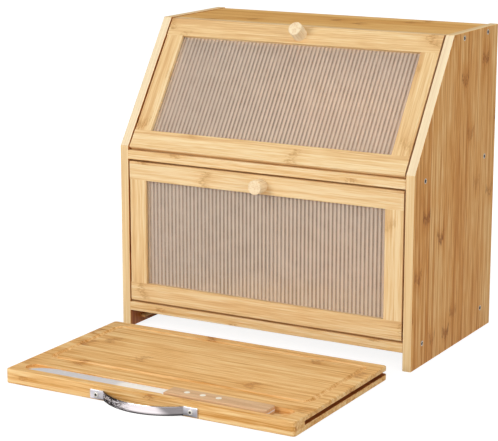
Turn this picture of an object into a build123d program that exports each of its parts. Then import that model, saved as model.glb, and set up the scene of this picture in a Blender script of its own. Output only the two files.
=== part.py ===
from build123d import *
import os
from collections import namedtuple
from math import cos, radians, sin, sqrt, tan

# Bread box: a bamboo cabinet with a leaning upper door and an upright lower door, both
# hinged along the foot, over a bay that takes a cutting board with its own bread knife.
# Millimetres, +Z up, +Y to the rear. X = 0 is mid-width, Z = 0 is the counter, and Y = 0
# is midway between the pull on the drawn-out board and the cabinet's rear. Left is -X.

# ---------------------------------------------------------------------------
# Driving dimensions
# ---------------------------------------------------------------------------

# Cabinet
WIDTH = 400.0               # over the side panels
DEPTH = 240.0               # front face to rear edge
HEIGHT = 382.0              # counter to the top of the side panels
PANEL_T = 11.5              # sides, shelves and top
KINK_Z = 232.0              # where the front of a side panel starts to lean back
SLOPE = radians(35.0)       # lean of the upper front from upright
BAY_H = 21.8                # clear height of the board's bay
LOWER_H = 182.7             # clear height of the lower compartment
TOP_DROP = 1.0              # top panel below the side panels' top edge
EDGE_R = 1.0                # rounding of the cabinet's edges

# Back panel, held in grooves
BACK_T = 5.0
BACK_INSET = 6.0            # its rear face in from the cabinet's rear
BACK_TONGUE = 5.0           # how far it stands in each groove
BACK_FIT = 0.2              # play in the grooves

# Screws through the side panels
SCREW_R = 1.75
SCREW_HEAD_R = 3.4
SCREW_TIP_R = 0.7
SCREW_POINT_L = 3.0         # tapered end
SCREW_L = 32.0
SCREW_RECESS = (3.8, 0.9, 1.3)      # each arm of the cross: length, width, depth
SCREW_FIT = 0.05            # radial play of a shank or head in its hole
SCREW_FRONT_IN = 30.0       # front screws behind the edge they sit near
SCREW_REAR_IN = 32.5        # rear screws ahead of the cabinet's rear

# Door frames
DOOR_T = 12.0
DOOR_SIDE_GAP = 1.8         # door to side panel
LOWER_FOOT_GAP = 2.0        # lower door to bottom shelf
LOWER_HEAD_GAP = 2.2        # lower door to middle shelf
UPPER_FOOT_GAP = 0.2        # upper door's foot above the kink, along the slope
DOOR_STOP_GAP = 0.3         # closed door to what it closes against
RAIL_W = 24.0               # foot rails and the upper head rail
LOWER_HEAD_W = 22.8         # lower head rail
STILE_W = 23.2
FRAME_R = 1.2               # rounding of the frames' outer front edges
LOWER_NOSE_R = 2.5          # foot edge of the lower door, front
UPPER_NOSE_R = 1.2          # foot edge of the upper door, front
UPPER_HEEL_R = 6.5          # foot edge of the upper door, rear

# Panes, ribbed on the outer face and held in grooves of the frames
PANE_T = 3.0                # over the ribs
RIB_H = 0.8
RIB_PITCH = 5.3
PANE_SETBACK = 4.2          # ribs behind the frame's face
PANE_GRIP = 5.5             # how far the pane stands in each groove
PANE_FIT = 0.1              # play on each face in the groove
PANE_PLAY = 0.5             # play at the pane's head and sides
TENON_FIT = 0.05            # play on each face of a stile's tenon in the groove
TENON_PLAY = 0.2            # play at a tenon's end

# Hinge pins, pressed into the doors and turning in the side panels
PIN_R = 1.5
PIN_GRIP = 10.0             # length in the door
PIN_SEAT = 7.0              # length in the side panel
PIN_RUN_FIT = 0.06          # radial play in the side panel
PIN_END_PLAY = 0.5
SNUG_FIT = 0.02             # radial play of what is pressed or glued in
LOWER_PIN_UP = 6.0          # axis above the door's foot
LOWER_PIN_IN = 4.5          # axis behind the door's face
UPPER_PIN_UP = 4.0
UPPER_PIN_IN = 4.0

# Knobs and their screws
KNOB_R = 8.75
KNOB_L = 17.0
KNOB_EDGE_R = 1.2
KNOB_DROP = 12.0            # knob centre below the door's head
KNOB_SCREW_R = 1.8
KNOB_SCREW_BITE = 10.0      # length in the knob
KNOB_SCREW_HEAD = (3.6, 2.2, 1.3)   # radius, height, rounding of the rim
KNOB_SCREW_RECESS = (4.0, 0.9, 1.2)

# Magnets that hold the doors shut, and the blocks behind the lower door
MAGNET_R = 3.0
MAGNET_L = 3.0
MAGNET_X = 110.0            # either side of the middle
MAGNET_DROP = 7.5           # lower magnets below the middle shelf
STOP_L = 30.0
STOP_D = 12.0
STOP_H = 14.0

# Runners let into the side panels
RUNNER_Z = 7.4              # underside above the counter
RUNNER_T = 3.8
RUNNER_REACH = 6.5          # out of the side panel
RUNNER_LET_IN = 4.0
RUNNER_FRONT = 22.5         # front end behind the cabinet's front
RUNNER_REAR = 11.0          # rear end ahead of the cabinet's rear
RUNNER_PLAY = 0.5           # over and under a runner, and at its end, in the board's groove
RUNNER_SIDE_PLAY = 2.5      # beside a runner in the board's groove

# Cutting board
BOARD_D = 225.0
BOARD_T = 17.0
BOARD_SIDE_GAP = 1.5        # board to side panel
BOARD_CORNER_R = 4.5
BOARD_EDGE_R = 1.5
PULL_OUT = 262.0            # board's front ahead of the cabinet's front, as shown
JUICE_SIDE_IN = 15.0        # juice groove's outer edge in from the board's sides
JUICE_FRONT_IN = 60.0
JUICE_REAR_IN = 13.0
JUICE_W = 7.0
JUICE_DEEP = 2.5
JUICE_CORNER_R = 10.0       # on the groove's centre line

# Pull: a bright strip bowed out between two screwed feet
PULL_SPAN = 104.6           # between the bends
PULL_REACH = 22.0           # board's front to the outside of the bow
PULL_T = 1.8
PULL_H = 10.5
PULL_FOOT_L = 17.1
PULL_Z = 7.0                # mid-height above the counter
PULL_SCREW_OUT = 8.7        # screw centre beyond the bend
PULL_SCREW_R = 1.4
PULL_SCREW_L = 11.0
PULL_SCREW_HEAD = (2.9, 1.7, 1.0)
PULL_SCREW_RECESS = (3.4, 0.8, 1.0)

# Bread knife: full tang between two riveted scales
BLADE_L = 184.0
BLADE_W = 18.5
BLADE_T = 1.8
BLADE_BEVEL_W = 6.5         # ground part beside the edge
BLADE_EDGE_T = 0.4
SCALLOP_PITCH = 6.0
SCALLOP_DEEP = 0.8
TIP_SWEEP = 34.0            # length over which the edge curves up to the point
HEEL_X = 18.5               # end of the blade, start of the handle
HANDLE_L = 128.5
HANDLE_W = 21.5
HANDLE_CORNER_R = 4.0
SCALE_T = 3.6
SCALE_EDGE_R = 1.6
RIVET_R = 3.4
RIVET_SHANK_R = 2.0
RIVET_HEAD_T = 1.5
RIVET_FIRST_IN = 23.8       # from the heel to the first rivet
RIVET_PITCH = 20.0
RIVET_COUNT = 3

# Pocket for the knife in the board
KNIFE_IN = 21.75            # knife's centre line behind the board's front
HANDLE_SINK = 6.4           # pocket floor under the handle, below the board's top
BLADE_SIDE_PLAY = 1.25
HANDLE_SIDE_PLAY = 1.75
BLADE_UNDER_PLAY = 0.3
TIP_PLAY = 7.0
HEEL_PLAY = 2.0
FINGER_L = 26.5             # scooped finger recess past the butt
FINGER_FLAT_L = 3.0         # level part of that recess

# ---------------------------------------------------------------------------
# Places worked out from them
# ---------------------------------------------------------------------------

FRONT_Y = (PULL_OUT + PULL_REACH - DEPTH) / 2
REAR_Y = FRONT_Y + DEPTH
HALF_W = WIDTH / 2
INNER_X = HALF_W - PANEL_T
SHELF_TOP_Z = BAY_H + PANEL_T
MID_LOW_Z = SHELF_TOP_Z + LOWER_H
MID_TOP_Z = MID_LOW_Z + PANEL_T
TOP_Z = HEIGHT - TOP_DROP
TOP_LOW_Z = TOP_Z - PANEL_T
BACK_REAR_Y = REAR_Y - BACK_INSET
BACK_FRONT_Y = BACK_REAR_Y - BACK_T
BACK_TOP_Z = TOP_LOW_Z + BACK_TONGUE - BACK_FIT


def slope_y(z, depth=0.0):
    """Y at height z on the leaning front, or on a plane this depth behind it."""
    return FRONT_Y + (z - KINK_Z) * tan(SLOPE) + depth / cos(SLOPE)


SCREWS_TOP = [
    (slope_y(HEIGHT) + SCREW_FRONT_IN, TOP_Z - PANEL_T / 2),
    (REAR_Y - SCREW_REAR_IN, TOP_Z - PANEL_T / 2),
]
SCREWS_MIDDLE = [
    (FRONT_Y + SCREW_FRONT_IN, MID_TOP_Z - PANEL_T / 2),
    (REAR_Y - SCREW_REAR_IN, MID_TOP_Z - PANEL_T / 2),
]
SCREWS_BOTTOM = [
    (FRONT_Y + SCREW_FRONT_IN, SHELF_TOP_Z - PANEL_T / 2),
    (REAR_Y - SCREW_REAR_IN, SHELF_TOP_Z - PANEL_T / 2),
]
ALL_SIDE_SCREWS = SCREWS_TOP + SCREWS_MIDDLE + SCREWS_BOTTOM

# A door's plane lies on its front face: local x is +X, local y runs up the door and local
# z points out. Its section plane shows depth behind the face against height up the door.
Door = namedtuple(
    "Door", "name plane section foot sill lintel head_front head_back pin_at nose_r heel_r"
)


def make_door(name, origin, outward, foot, head_front, head_back, head_w, pin, nose_r, heel_r):
    """The values that both doors' pieces are worked out from."""
    pin_up, pin_in = pin
    plane = Plane(origin=origin, x_dir=(1, 0, 0), z_dir=outward)
    section = Plane(origin=origin, x_dir=-plane.z_dir, z_dir=(1, 0, 0))
    pin_at = section.from_local_coords((pin_in, foot + pin_up, 0))
    return Door(name, plane, section, foot, foot + RAIL_W, head_front - head_w,
                head_front, head_back, pin_at, nose_r, heel_r)


def upper_head(depth):
    """Height up the slope of the upper door's level head, this far behind its face."""
    return (TOP_Z - KINK_Z + depth * sin(SLOPE)) / cos(SLOPE)


LOWER_HEAD = LOWER_H - LOWER_HEAD_GAP
LOWER = make_door("lower", (0, FRONT_Y, SHELF_TOP_Z), (0, -1, 0), LOWER_FOOT_GAP, LOWER_HEAD,
                  LOWER_HEAD, LOWER_HEAD_W, (LOWER_PIN_UP, LOWER_PIN_IN), LOWER_NOSE_R, FRAME_R)
UPPER = make_door("upper", (0, FRONT_Y, KINK_Z), (0, -cos(SLOPE), sin(SLOPE)), UPPER_FOOT_GAP,
                  upper_head(0), upper_head(DOOR_T), RAIL_W, (UPPER_PIN_UP, UPPER_PIN_IN),
                  UPPER_NOSE_R, UPPER_HEEL_R)
DOOR_X = INNER_X - DOOR_SIDE_GAP
SIGHT_X = DOOR_X - STILE_W
GROOVE_DEEP = PANE_GRIP + PANE_PLAY
GROOVE_W = PANE_T + 2 * PANE_FIT
GROOVE_MID = PANE_SETBACK + PANE_T / 2

# Magnet centres up each door, level with the magnets that they meet
LOWER_MAGNET_UP = LOWER_H - MAGNET_DROP
UPPER_MAGNET_UP = (TOP_Z - PANEL_T / 2 - KINK_Z + DOOR_T * sin(SLOPE)) / cos(SLOPE)

BOARD_X = INNER_X - BOARD_SIDE_GAP
BOARD_FRONT_Y = FRONT_Y - PULL_OUT
BOARD_REAR_Y = BOARD_FRONT_Y + BOARD_D
BOARD_GROOVE_X = INNER_X - RUNNER_REACH - RUNNER_SIDE_PLAY
KNIFE_Y = BOARD_FRONT_Y + KNIFE_IN
POCKET_Z = BOARD_T - HANDLE_SINK
TANG_Z = POCKET_Z + SCALE_T
BLADE_POCKET_Z = TANG_Z - BLADE_UNDER_PLAY
KNIFE_TOP_Z = TANG_Z + BLADE_T + SCALE_T
TIP_X = HEEL_X - BLADE_L
BUTT_X = HEEL_X + HANDLE_L
RIVET_XS = [HEEL_X + RIVET_FIRST_IN + i * RIVET_PITCH for i in range(RIVET_COUNT)]
PULL_SCREW_X = PULL_SPAN / 2 + PULL_SCREW_OUT

os.makedirs("parts", exist_ok=True)


def save(builder, name):
    """Label a finished piece and write it under its own name."""
    builder.part.label = name
    export_step(builder.part, "parts/" + name + ".step")


def facing(side, x, places):
    """Locations at x for (y, z) places, their axis pointing outwards on that side."""
    return [Plane(origin=(x, y, z), z_dir=(side, 0, 0)).location for y, z in places]


# ---------------------------------------------------------------------------
# Fasteners, each made once at the origin with its axis along Z
# ---------------------------------------------------------------------------


def cross_recess(arm):
    """Cut a cross with these arms (length, width, depth) from the XY plane down."""
    length, width, depth = arm
    for turn in (0, 90):
        Box(length, width, 2 * depth, rotation=(0, 0, turn), mode=Mode.SUBTRACT)


# Countersunk wood screw: flat head level with z = 0, point at z = -SCREW_L
with BuildPart() as wood_screw:
    with BuildSketch(Plane.XZ):
        with BuildLine():
            Polyline(
                (0, 0),
                (SCREW_HEAD_R, 0),
                (SCREW_R, SCREW_R - SCREW_HEAD_R),
                (SCREW_R, SCREW_POINT_L - SCREW_L),
                (SCREW_TIP_R, -SCREW_L),
                (0, -SCREW_L),
                close=True,
            )
        make_face()
    revolve(axis=Axis.Z)
    cross_recess(SCREW_RECESS)


def pan_head_screw(head, shank_r, length, recess):
    """Screw with a low domed head: seat at z = 0, blunt end at z = -length."""
    head_r, head_h, rim_r = head
    with BuildPart() as screw:
        Cylinder(shank_r, length, align=(Align.CENTER, Align.CENTER, Align.MAX))
        Cylinder(head_r, head_h, align=(Align.CENTER, Align.CENTER, Align.MIN))
        fillet(screw.edges().sort_by(Axis.Z)[-1], rim_r)
        with Locations((0, 0, head_h)):
            cross_recess(recess)
    return screw.part


knob_screw = pan_head_screw(
    KNOB_SCREW_HEAD, KNOB_SCREW_R, DOOR_T + KNOB_SCREW_BITE, KNOB_SCREW_RECESS
)
pull_screw = pan_head_screw(PULL_SCREW_HEAD, PULL_SCREW_R, PULL_SCREW_L, PULL_SCREW_RECESS)

# ---------------------------------------------------------------------------
# Cabinet
# ---------------------------------------------------------------------------

# Side panels: upright to the kink, then leaning back. The inner faces carry the back
# panel's groove, the runner's groove and the blind holes that the hinge pins turn in.
for side, name in ((-1, "side_left"), (1, "side_right")):
    with BuildPart() as side_panel:
        with BuildSketch(Plane.YZ.offset(side * INNER_X)):
            with BuildLine():
                Polyline(
                    (FRONT_Y, 0),
                    (FRONT_Y, KINK_Z),
                    (slope_y(HEIGHT), HEIGHT),
                    (REAR_Y, HEIGHT),
                    (REAR_Y, 0),
                    close=True,
                )
            make_face()
        extrude(amount=PANEL_T, dir=(side, 0, 0))
        fillet(side_panel.edges().filter_by(Axis.X, reverse=True), EDGE_R)
        with BuildSketch(Plane.YZ.offset(side * INNER_X)):
            with Locations(((BACK_FRONT_Y + BACK_REAR_Y) / 2, BAY_H)):
                Rectangle(
                    BACK_T + 2 * BACK_FIT,
                    BACK_TOP_Z + BACK_FIT - BAY_H,
                    align=(Align.CENTER, Align.MIN),
                )
        extrude(amount=BACK_TONGUE, dir=(side, 0, 0), mode=Mode.SUBTRACT)
        with BuildSketch(Plane.YZ.offset(side * INNER_X)):
            with Locations((FRONT_Y + RUNNER_FRONT, RUNNER_Z)):
                Rectangle(DEPTH - RUNNER_FRONT - RUNNER_REAR, RUNNER_T, align=Align.MIN)
        extrude(amount=RUNNER_LET_IN, dir=(side, 0, 0), mode=Mode.SUBTRACT)
        pin_places = [(door.pin_at.Y, door.pin_at.Z) for door in (LOWER, UPPER)]
        with Locations(*facing(-side, side * INNER_X, pin_places)):
            Hole(PIN_R + PIN_RUN_FIT, PIN_SEAT + PIN_END_PLAY)
        with Locations(*facing(side, side * HALF_W, ALL_SIDE_SCREWS)):
            CounterSinkHole(SCREW_R + SCREW_FIT, SCREW_HEAD_R + SCREW_FIT, PANEL_T, 90)
    save(side_panel, name)

    with BuildPart() as side_screws:
        with Locations(*facing(side, side * HALF_W, ALL_SIDE_SCREWS)):
            add(wood_screw.part)
    save(side_screws, "side_screws_" + name.split("_")[1])

    # Runner: a bamboo strip glued into its groove, which the board's groove rides on
    with BuildPart() as runner:
        with BuildSketch(Plane.YZ.offset(side * (INNER_X + RUNNER_LET_IN))):
            with Locations((FRONT_Y + RUNNER_FRONT, RUNNER_Z)):
                Rectangle(DEPTH - RUNNER_FRONT - RUNNER_REAR, RUNNER_T, align=Align.MIN)
        extrude(amount=RUNNER_LET_IN + RUNNER_REACH, dir=(-side, 0, 0))
    save(runner, "runner_" + name.split("_")[1])


def pilot_holes(places):
    """Blind holes for the side screws in both ends of the part being built."""
    for side in (-1, 1):
        with Locations(*facing(side, side * INNER_X, places)):
            Hole(SCREW_R + SCREW_FIT, SCREW_L - PANEL_T)


# Top panel: its front edge leans with the upper door, which closes against it, and its
# underside has the groove for the back panel
with BuildPart() as top_panel:
    with BuildSketch(Plane.YZ.offset(-INNER_X)):
        with BuildLine():
            Polyline(
                (slope_y(TOP_Z, DOOR_T + DOOR_STOP_GAP), TOP_Z),
                (REAR_Y, TOP_Z),
                (REAR_Y, TOP_LOW_Z),
                (slope_y(TOP_LOW_Z, DOOR_T + DOOR_STOP_GAP), TOP_LOW_Z),
                close=True,
            )
        make_face()
        with Locations(((BACK_FRONT_Y + BACK_REAR_Y) / 2, TOP_LOW_Z)):
            Rectangle(
                BACK_T + 2 * BACK_FIT,
                BACK_TONGUE,
                align=(Align.CENTER, Align.MIN),
                mode=Mode.SUBTRACT,
            )
    extrude(amount=2 * INNER_X)
    fillet(top_panel.edges().filter_by(Axis.X).group_by(Axis.Y)[-1].sort_by(Axis.Z)[-1], EDGE_R)
    pilot_holes(SCREWS_TOP)
    edge_plane = UPPER.plane.offset(-DOOR_T - DOOR_STOP_GAP)
    magnet_places = [(side * MAGNET_X, UPPER_MAGNET_UP) for side in (-1, 1)]
    with BuildSketch(edge_plane):
        with Locations(*magnet_places):
            Circle(MAGNET_R + SNUG_FIT)
    extrude(amount=-MAGNET_L, mode=Mode.SUBTRACT)
save(top_panel, "top_panel")

# Middle and bottom shelves: front edges level with the side panels, rear edges against
# the back panel
for low_z, places, name in (
    (MID_LOW_Z, SCREWS_MIDDLE, "middle_shelf"),
    (BAY_H, SCREWS_BOTTOM, "bottom_shelf"),
):
    with BuildPart() as shelf:
        with BuildSketch(Plane.XY.offset(low_z)):
            with Locations((0, FRONT_Y)):
                Rectangle(2 * INNER_X, BACK_FRONT_Y - FRONT_Y, align=(Align.CENTER, Align.MIN))
        extrude(amount=PANEL_T)
        fillet(shelf.edges().filter_by(Axis.X).group_by(Axis.Y)[0], EDGE_R)
        pilot_holes(places)
    save(shelf, name)

# Back panel: stands on the closed lower ends of the side panels' grooves
with BuildPart() as back_panel:
    with BuildSketch(Plane.XY.offset(BAY_H)):
        with Locations((0, BACK_FRONT_Y)):
            Rectangle(
                2 * (INNER_X + BACK_TONGUE - BACK_FIT), BACK_T, align=(Align.CENTER, Align.MIN)
            )
    extrude(amount=BACK_TOP_Z - BAY_H)
save(back_panel, "back_panel")

# Blocks glued under the middle shelf, which the lower door closes against
STOP_FRONT_Y = FRONT_Y + DOOR_T + DOOR_STOP_GAP
with BuildPart() as door_stops:
    with BuildSketch(Plane.XY.offset(MID_LOW_Z - STOP_H)):
        with Locations((-MAGNET_X, STOP_FRONT_Y), (MAGNET_X, STOP_FRONT_Y)):
            Rectangle(STOP_L, STOP_D, align=(Align.CENTER, Align.MIN))
    extrude(amount=STOP_H)
    with BuildSketch(Plane.XZ.offset(-STOP_FRONT_Y)):
        with Locations((-MAGNET_X, MID_LOW_Z - MAGNET_DROP), (MAGNET_X, MID_LOW_Z - MAGNET_DROP)):
            Circle(MAGNET_R + SNUG_FIT)
    extrude(amount=-MAGNET_L, mode=Mode.SUBTRACT)
save(door_stops, "door_stops")

# Magnets of the cabinet: two in the top panel's leaning edge, two in the blocks
with BuildPart() as catch_magnets:
    with BuildSketch(edge_plane):
        with Locations(*magnet_places):
            Circle(MAGNET_R)
    extrude(amount=-MAGNET_L)
    with BuildSketch(Plane.XZ.offset(-STOP_FRONT_Y)):
        with Locations((-MAGNET_X, MID_LOW_Z - MAGNET_DROP), (MAGNET_X, MID_LOW_Z - MAGNET_DROP)):
            Circle(MAGNET_R)
    extrude(amount=-MAGNET_L)
save(catch_magnets, "catch_magnets")

# ---------------------------------------------------------------------------
# Doors: rails run the full width, stiles stand between them with stub tenons in the
# rails' grooves, and the ribbed pane is held in the same grooves
# ---------------------------------------------------------------------------


def rail_corners(low, high_front, high_back):
    """Corners of a rail's cross-section in a door's section plane."""
    return (0, low), (DOOR_T, low), (DOOR_T, high_back), (0, high_front)


def rail_groove(edge, into):
    """Pane groove in a rail's section: from its inner edge, `into` +1 up or -1 down."""
    with Locations((GROOVE_MID, edge)):
        Rectangle(
            GROOVE_W,
            GROOVE_DEEP,
            align=(Align.CENTER, Align.MIN if into > 0 else Align.MAX),
            mode=Mode.SUBTRACT,
        )


for door, magnet_up in ((LOWER, LOWER_MAGNET_UP), (UPPER, UPPER_MAGNET_UP)):
    rail_start = door.section.offset(-DOOR_X)
    back_plane = door.plane.offset(-DOOR_T)
    knob_up = door.head_front - KNOB_DROP

    # Foot rail: rounded so that it turns clear of the shelf under it
    with BuildPart() as foot_rail:
        with BuildSketch(rail_start) as foot_section:
            with BuildLine():
                Polyline(*rail_corners(door.foot, door.sill, door.sill), close=True)
            make_face()
            corners = foot_section.vertices().group_by(Axis.Y)[0].sort_by(Axis.X)
            fillet(corners[0], door.nose_r)
            corners = foot_section.vertices().group_by(Axis.Y)[0].sort_by(Axis.X)
            fillet(corners[-1], door.heel_r)
            rail_groove(door.sill, -1)
        extrude(amount=2 * DOOR_X)
        for side in (-1, 1):
            with Locations(*facing(side, side * DOOR_X, [(door.pin_at.Y, door.pin_at.Z)])):
                Hole(PIN_R + SNUG_FIT, PIN_GRIP)
    save(foot_rail, door.name + "_foot_rail")

    # Head rail: bored for the knob's screw, with the door's magnets in its rear face
    with BuildPart() as head_rail:
        with BuildSketch(rail_start) as head_section:
            with BuildLine():
                Polyline(
                    *rail_corners(door.lintel, door.head_front, door.head_back), close=True
                )
            make_face()
            fillet(head_section.vertices().group_by(Axis.X)[0].sort_by(Axis.Y)[-1], FRAME_R)
            rail_groove(door.lintel, 1)
        extrude(amount=2 * DOOR_X)
        with BuildSketch(door.plane):
            with Locations((0, knob_up)):
                Circle(KNOB_SCREW_R + SCREW_FIT)
        extrude(amount=-DOOR_T, mode=Mode.SUBTRACT)
        with BuildSketch(back_plane):
            with Locations((-MAGNET_X, magnet_up), (MAGNET_X, magnet_up)):
                Circle(MAGNET_R + SNUG_FIT)
        extrude(amount=MAGNET_L, mode=Mode.SUBTRACT)
    save(head_rail, door.name + "_head_rail")

    with BuildPart() as door_magnets:
        with BuildSketch(back_plane):
            with Locations((-MAGNET_X, magnet_up), (MAGNET_X, magnet_up)):
                Circle(MAGNET_R)
        extrude(amount=MAGNET_L)
    save(door_magnets, door.name + "_magnets")

    # Stiles
    stile_low = Plane(
        origin=door.plane.from_local_coords((0, door.sill, 0)),
        x_dir=(1, 0, 0),
        z_dir=door.plane.y_dir,
    )
    stile_l = door.lintel - door.sill
    for side, name in ((-1, "_left_stile"), (1, "_right_stile")):
        outer = Align.MIN if side > 0 else Align.MAX
        with BuildPart() as stile:
            with BuildSketch(stile_low) as stile_section:
                with Locations((side * SIGHT_X, 0)):
                    Rectangle(STILE_W, DOOR_T, align=(outer, Align.MIN))
                face_edge = stile_section.vertices().sort_by(Axis.X)
                outer_pair = face_edge[-2:] if side > 0 else face_edge[:2]
                fillet(outer_pair.sort_by(Axis.Y)[0], FRAME_R)
                with Locations((side * SIGHT_X, GROOVE_MID)):
                    Rectangle(GROOVE_DEEP, GROOVE_W, align=(outer, Align.CENTER),
                              mode=Mode.SUBTRACT)
            extrude(amount=stile_l)
            tenon_l = GROOVE_DEEP - TENON_PLAY
            with BuildSketch(stile_low.offset(-tenon_l)):
                with Locations((side * (SIGHT_X + GROOVE_DEEP), GROOVE_MID)):
                    Rectangle(STILE_W - GROOVE_DEEP, GROOVE_W - 2 * TENON_FIT,
                              align=(outer, Align.CENTER))
            extrude(amount=stile_l + 2 * tenon_l)
        save(stile, door.name + name)

    # Pane: flat behind, round ribs in front, standing on the foot rail's groove
    pane_x = SIGHT_X + PANE_GRIP
    rib_count = round(2 * pane_x / RIB_PITCH)
    rib_w = 2 * pane_x / rib_count
    valley = PANE_SETBACK + RIB_H
    pane_back = PANE_SETBACK + PANE_T
    with BuildPart() as pane:
        with BuildSketch(stile_low.offset(-GROOVE_DEEP)):
            with BuildLine():
                for i in range(rib_count):
                    rib_x = -pane_x + i * rib_w
                    ThreePointArc(
                        (rib_x, valley),
                        (rib_x + rib_w / 2, PANE_SETBACK),
                        (rib_x + rib_w, valley),
                    )
                Polyline(
                    (pane_x, valley), (pane_x, pane_back), (-pane_x, pane_back), (-pane_x, valley)
                )
            make_face()
        extrude(amount=stile_l + GROOVE_DEEP + PANE_GRIP)
    save(pane, door.name + "_pane")

    # Knob: a plain turned cylinder, screwed on from behind
    with BuildPart() as knob:
        with BuildSketch(door.plane):
            with Locations((0, knob_up)):
                Circle(KNOB_R)
        extrude(amount=KNOB_L)
        fillet(knob.faces().sort_by(Axis(door.plane.origin, door.plane.z_dir))[-1].edges(),
               KNOB_EDGE_R)
        with BuildSketch(door.plane):
            with Locations((0, knob_up)):
                Circle(KNOB_SCREW_R + SCREW_FIT)
        extrude(amount=KNOB_SCREW_BITE, mode=Mode.SUBTRACT)
    save(knob, door.name + "_knob")

    with BuildPart() as door_knob_screw:
        screw_seat = door.plane.from_local_coords((0, knob_up, -DOOR_T))
        with Locations(Plane(origin=screw_seat, z_dir=-door.plane.z_dir).location):
            add(knob_screw)
    save(door_knob_screw, door.name + "_knob_screw")

    # Hinge pins
    with BuildPart() as hinge_pins:
        for side in (-1, 1):
            with BuildSketch(Plane.YZ.offset(side * (DOOR_X - PIN_GRIP))):
                with Locations((door.pin_at.Y, door.pin_at.Z)):
                    Circle(PIN_R)
            extrude(amount=PIN_GRIP + DOOR_SIDE_GAP + PIN_SEAT, dir=(side, 0, 0))
    save(hinge_pins, door.name + "_hinge_pins")

# ---------------------------------------------------------------------------
# Cutting board
# ---------------------------------------------------------------------------

HANDLE_POCKET_R = HANDLE_W / 2 + HANDLE_SIDE_PLAY
POCKET_END_X = BUTT_X + FINGER_L
with BuildPart() as knife_pocket:
    # Outline of the handle's part, then cut to a floor that scoops up at its end
    with BuildSketch(Plane.XY.offset(POCKET_Z)):
        with Locations((HEEL_X - HEEL_PLAY, KNIFE_Y)):
            Rectangle(
                POCKET_END_X - HANDLE_POCKET_R - HEEL_X + HEEL_PLAY,
                2 * HANDLE_POCKET_R,
                align=(Align.MIN, Align.CENTER),
            )
        with Locations((POCKET_END_X - HANDLE_POCKET_R, KNIFE_Y)):
            Circle(HANDLE_POCKET_R)
    extrude(amount=HANDLE_SINK)
    with BuildSketch(Plane.XZ.offset(-KNIFE_Y)):
        with BuildLine():
            floor_end = (BUTT_X + FINGER_FLAT_L, POCKET_Z)
            Polyline(
                (POCKET_END_X, BOARD_T),
                (HEEL_X - HEEL_PLAY, BOARD_T),
                (HEEL_X - HEEL_PLAY, POCKET_Z),
                floor_end,
            )
            TangentArc(floor_end, (POCKET_END_X, BOARD_T), tangent=(1, 0))
        make_face()
    extrude(amount=HANDLE_POCKET_R, both=True, mode=Mode.INTERSECT)
    # The blade's part is shallower, and round past the point
    blade_pocket_r = BLADE_W / 2 + BLADE_SIDE_PLAY
    with BuildSketch(Plane.XY.offset(BLADE_POCKET_Z)):
        with Locations((TIP_X - TIP_PLAY + blade_pocket_r, KNIFE_Y)):
            Circle(blade_pocket_r)
            Rectangle(
                BLADE_L + TIP_PLAY - blade_pocket_r,
                2 * blade_pocket_r,
                align=(Align.MIN, Align.CENTER),
            )
    extrude(amount=BOARD_T - BLADE_POCKET_Z)

# The juice groove has a round bottom: a ring of this radius is sunk into the top, swept
# round the right half and mirrored
juice_r = (JUICE_W**2 / 4 + JUICE_DEEP**2) / (2 * JUICE_DEEP)
juice_x = BOARD_X - JUICE_SIDE_IN - JUICE_W / 2
juice_front_y = BOARD_FRONT_Y + JUICE_FRONT_IN + JUICE_W / 2
juice_rear_y = BOARD_REAR_Y - JUICE_REAR_IN - JUICE_W / 2
with BuildPart() as juice_ring:
    juice_z = BOARD_T - JUICE_DEEP + juice_r
    with BuildLine(Plane.XY.offset(juice_z)):
        FilletPolyline(
            (0, juice_front_y),
            (juice_x, juice_front_y),
            (juice_x, juice_rear_y),
            (0, juice_rear_y),
            radius=JUICE_CORNER_R,
        )
    with BuildSketch(Plane(origin=(0, juice_front_y, juice_z), z_dir=(1, 0, 0))):
        Circle(juice_r)
    sweep()
    mirror(about=Plane.YZ)

with BuildPart() as cutting_board:
    with BuildSketch():
        with Locations((0, BOARD_FRONT_Y)):
            Rectangle(2 * BOARD_X, BOARD_D, align=(Align.CENTER, Align.MIN))
    extrude(amount=BOARD_T)
    fillet(cutting_board.edges().filter_by(Axis.Z), BOARD_CORNER_R)
    rims = cutting_board.faces().filter_by(Axis.Z).edges()
    fillet(rims, BOARD_EDGE_R)
    # Side grooves, open at the rear and stopped short of the front
    with BuildSketch(Plane.XY.offset(RUNNER_Z - RUNNER_PLAY)):
        for side in (-1, 1):
            with Locations((side * BOARD_GROOVE_X, BOARD_FRONT_Y + RUNNER_FRONT - RUNNER_PLAY)):
                Rectangle(
                    BOARD_X - BOARD_GROOVE_X,
                    BOARD_D - RUNNER_FRONT + RUNNER_PLAY,
                    align=(Align.MIN if side > 0 else Align.MAX, Align.MIN),
                )
    extrude(amount=RUNNER_T + 2 * RUNNER_PLAY, mode=Mode.SUBTRACT)
    add(knife_pocket.part, mode=Mode.SUBTRACT)
    add(juice_ring.part, mode=Mode.SUBTRACT)
    with BuildSketch(Plane.XZ.offset(-BOARD_FRONT_Y)):
        with Locations((-PULL_SCREW_X, PULL_Z), (PULL_SCREW_X, PULL_Z)):
            Circle(PULL_SCREW_R + SCREW_FIT)
    extrude(amount=PULL_T - PULL_SCREW_L, mode=Mode.SUBTRACT)
save(cutting_board, "cutting_board")

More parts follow.
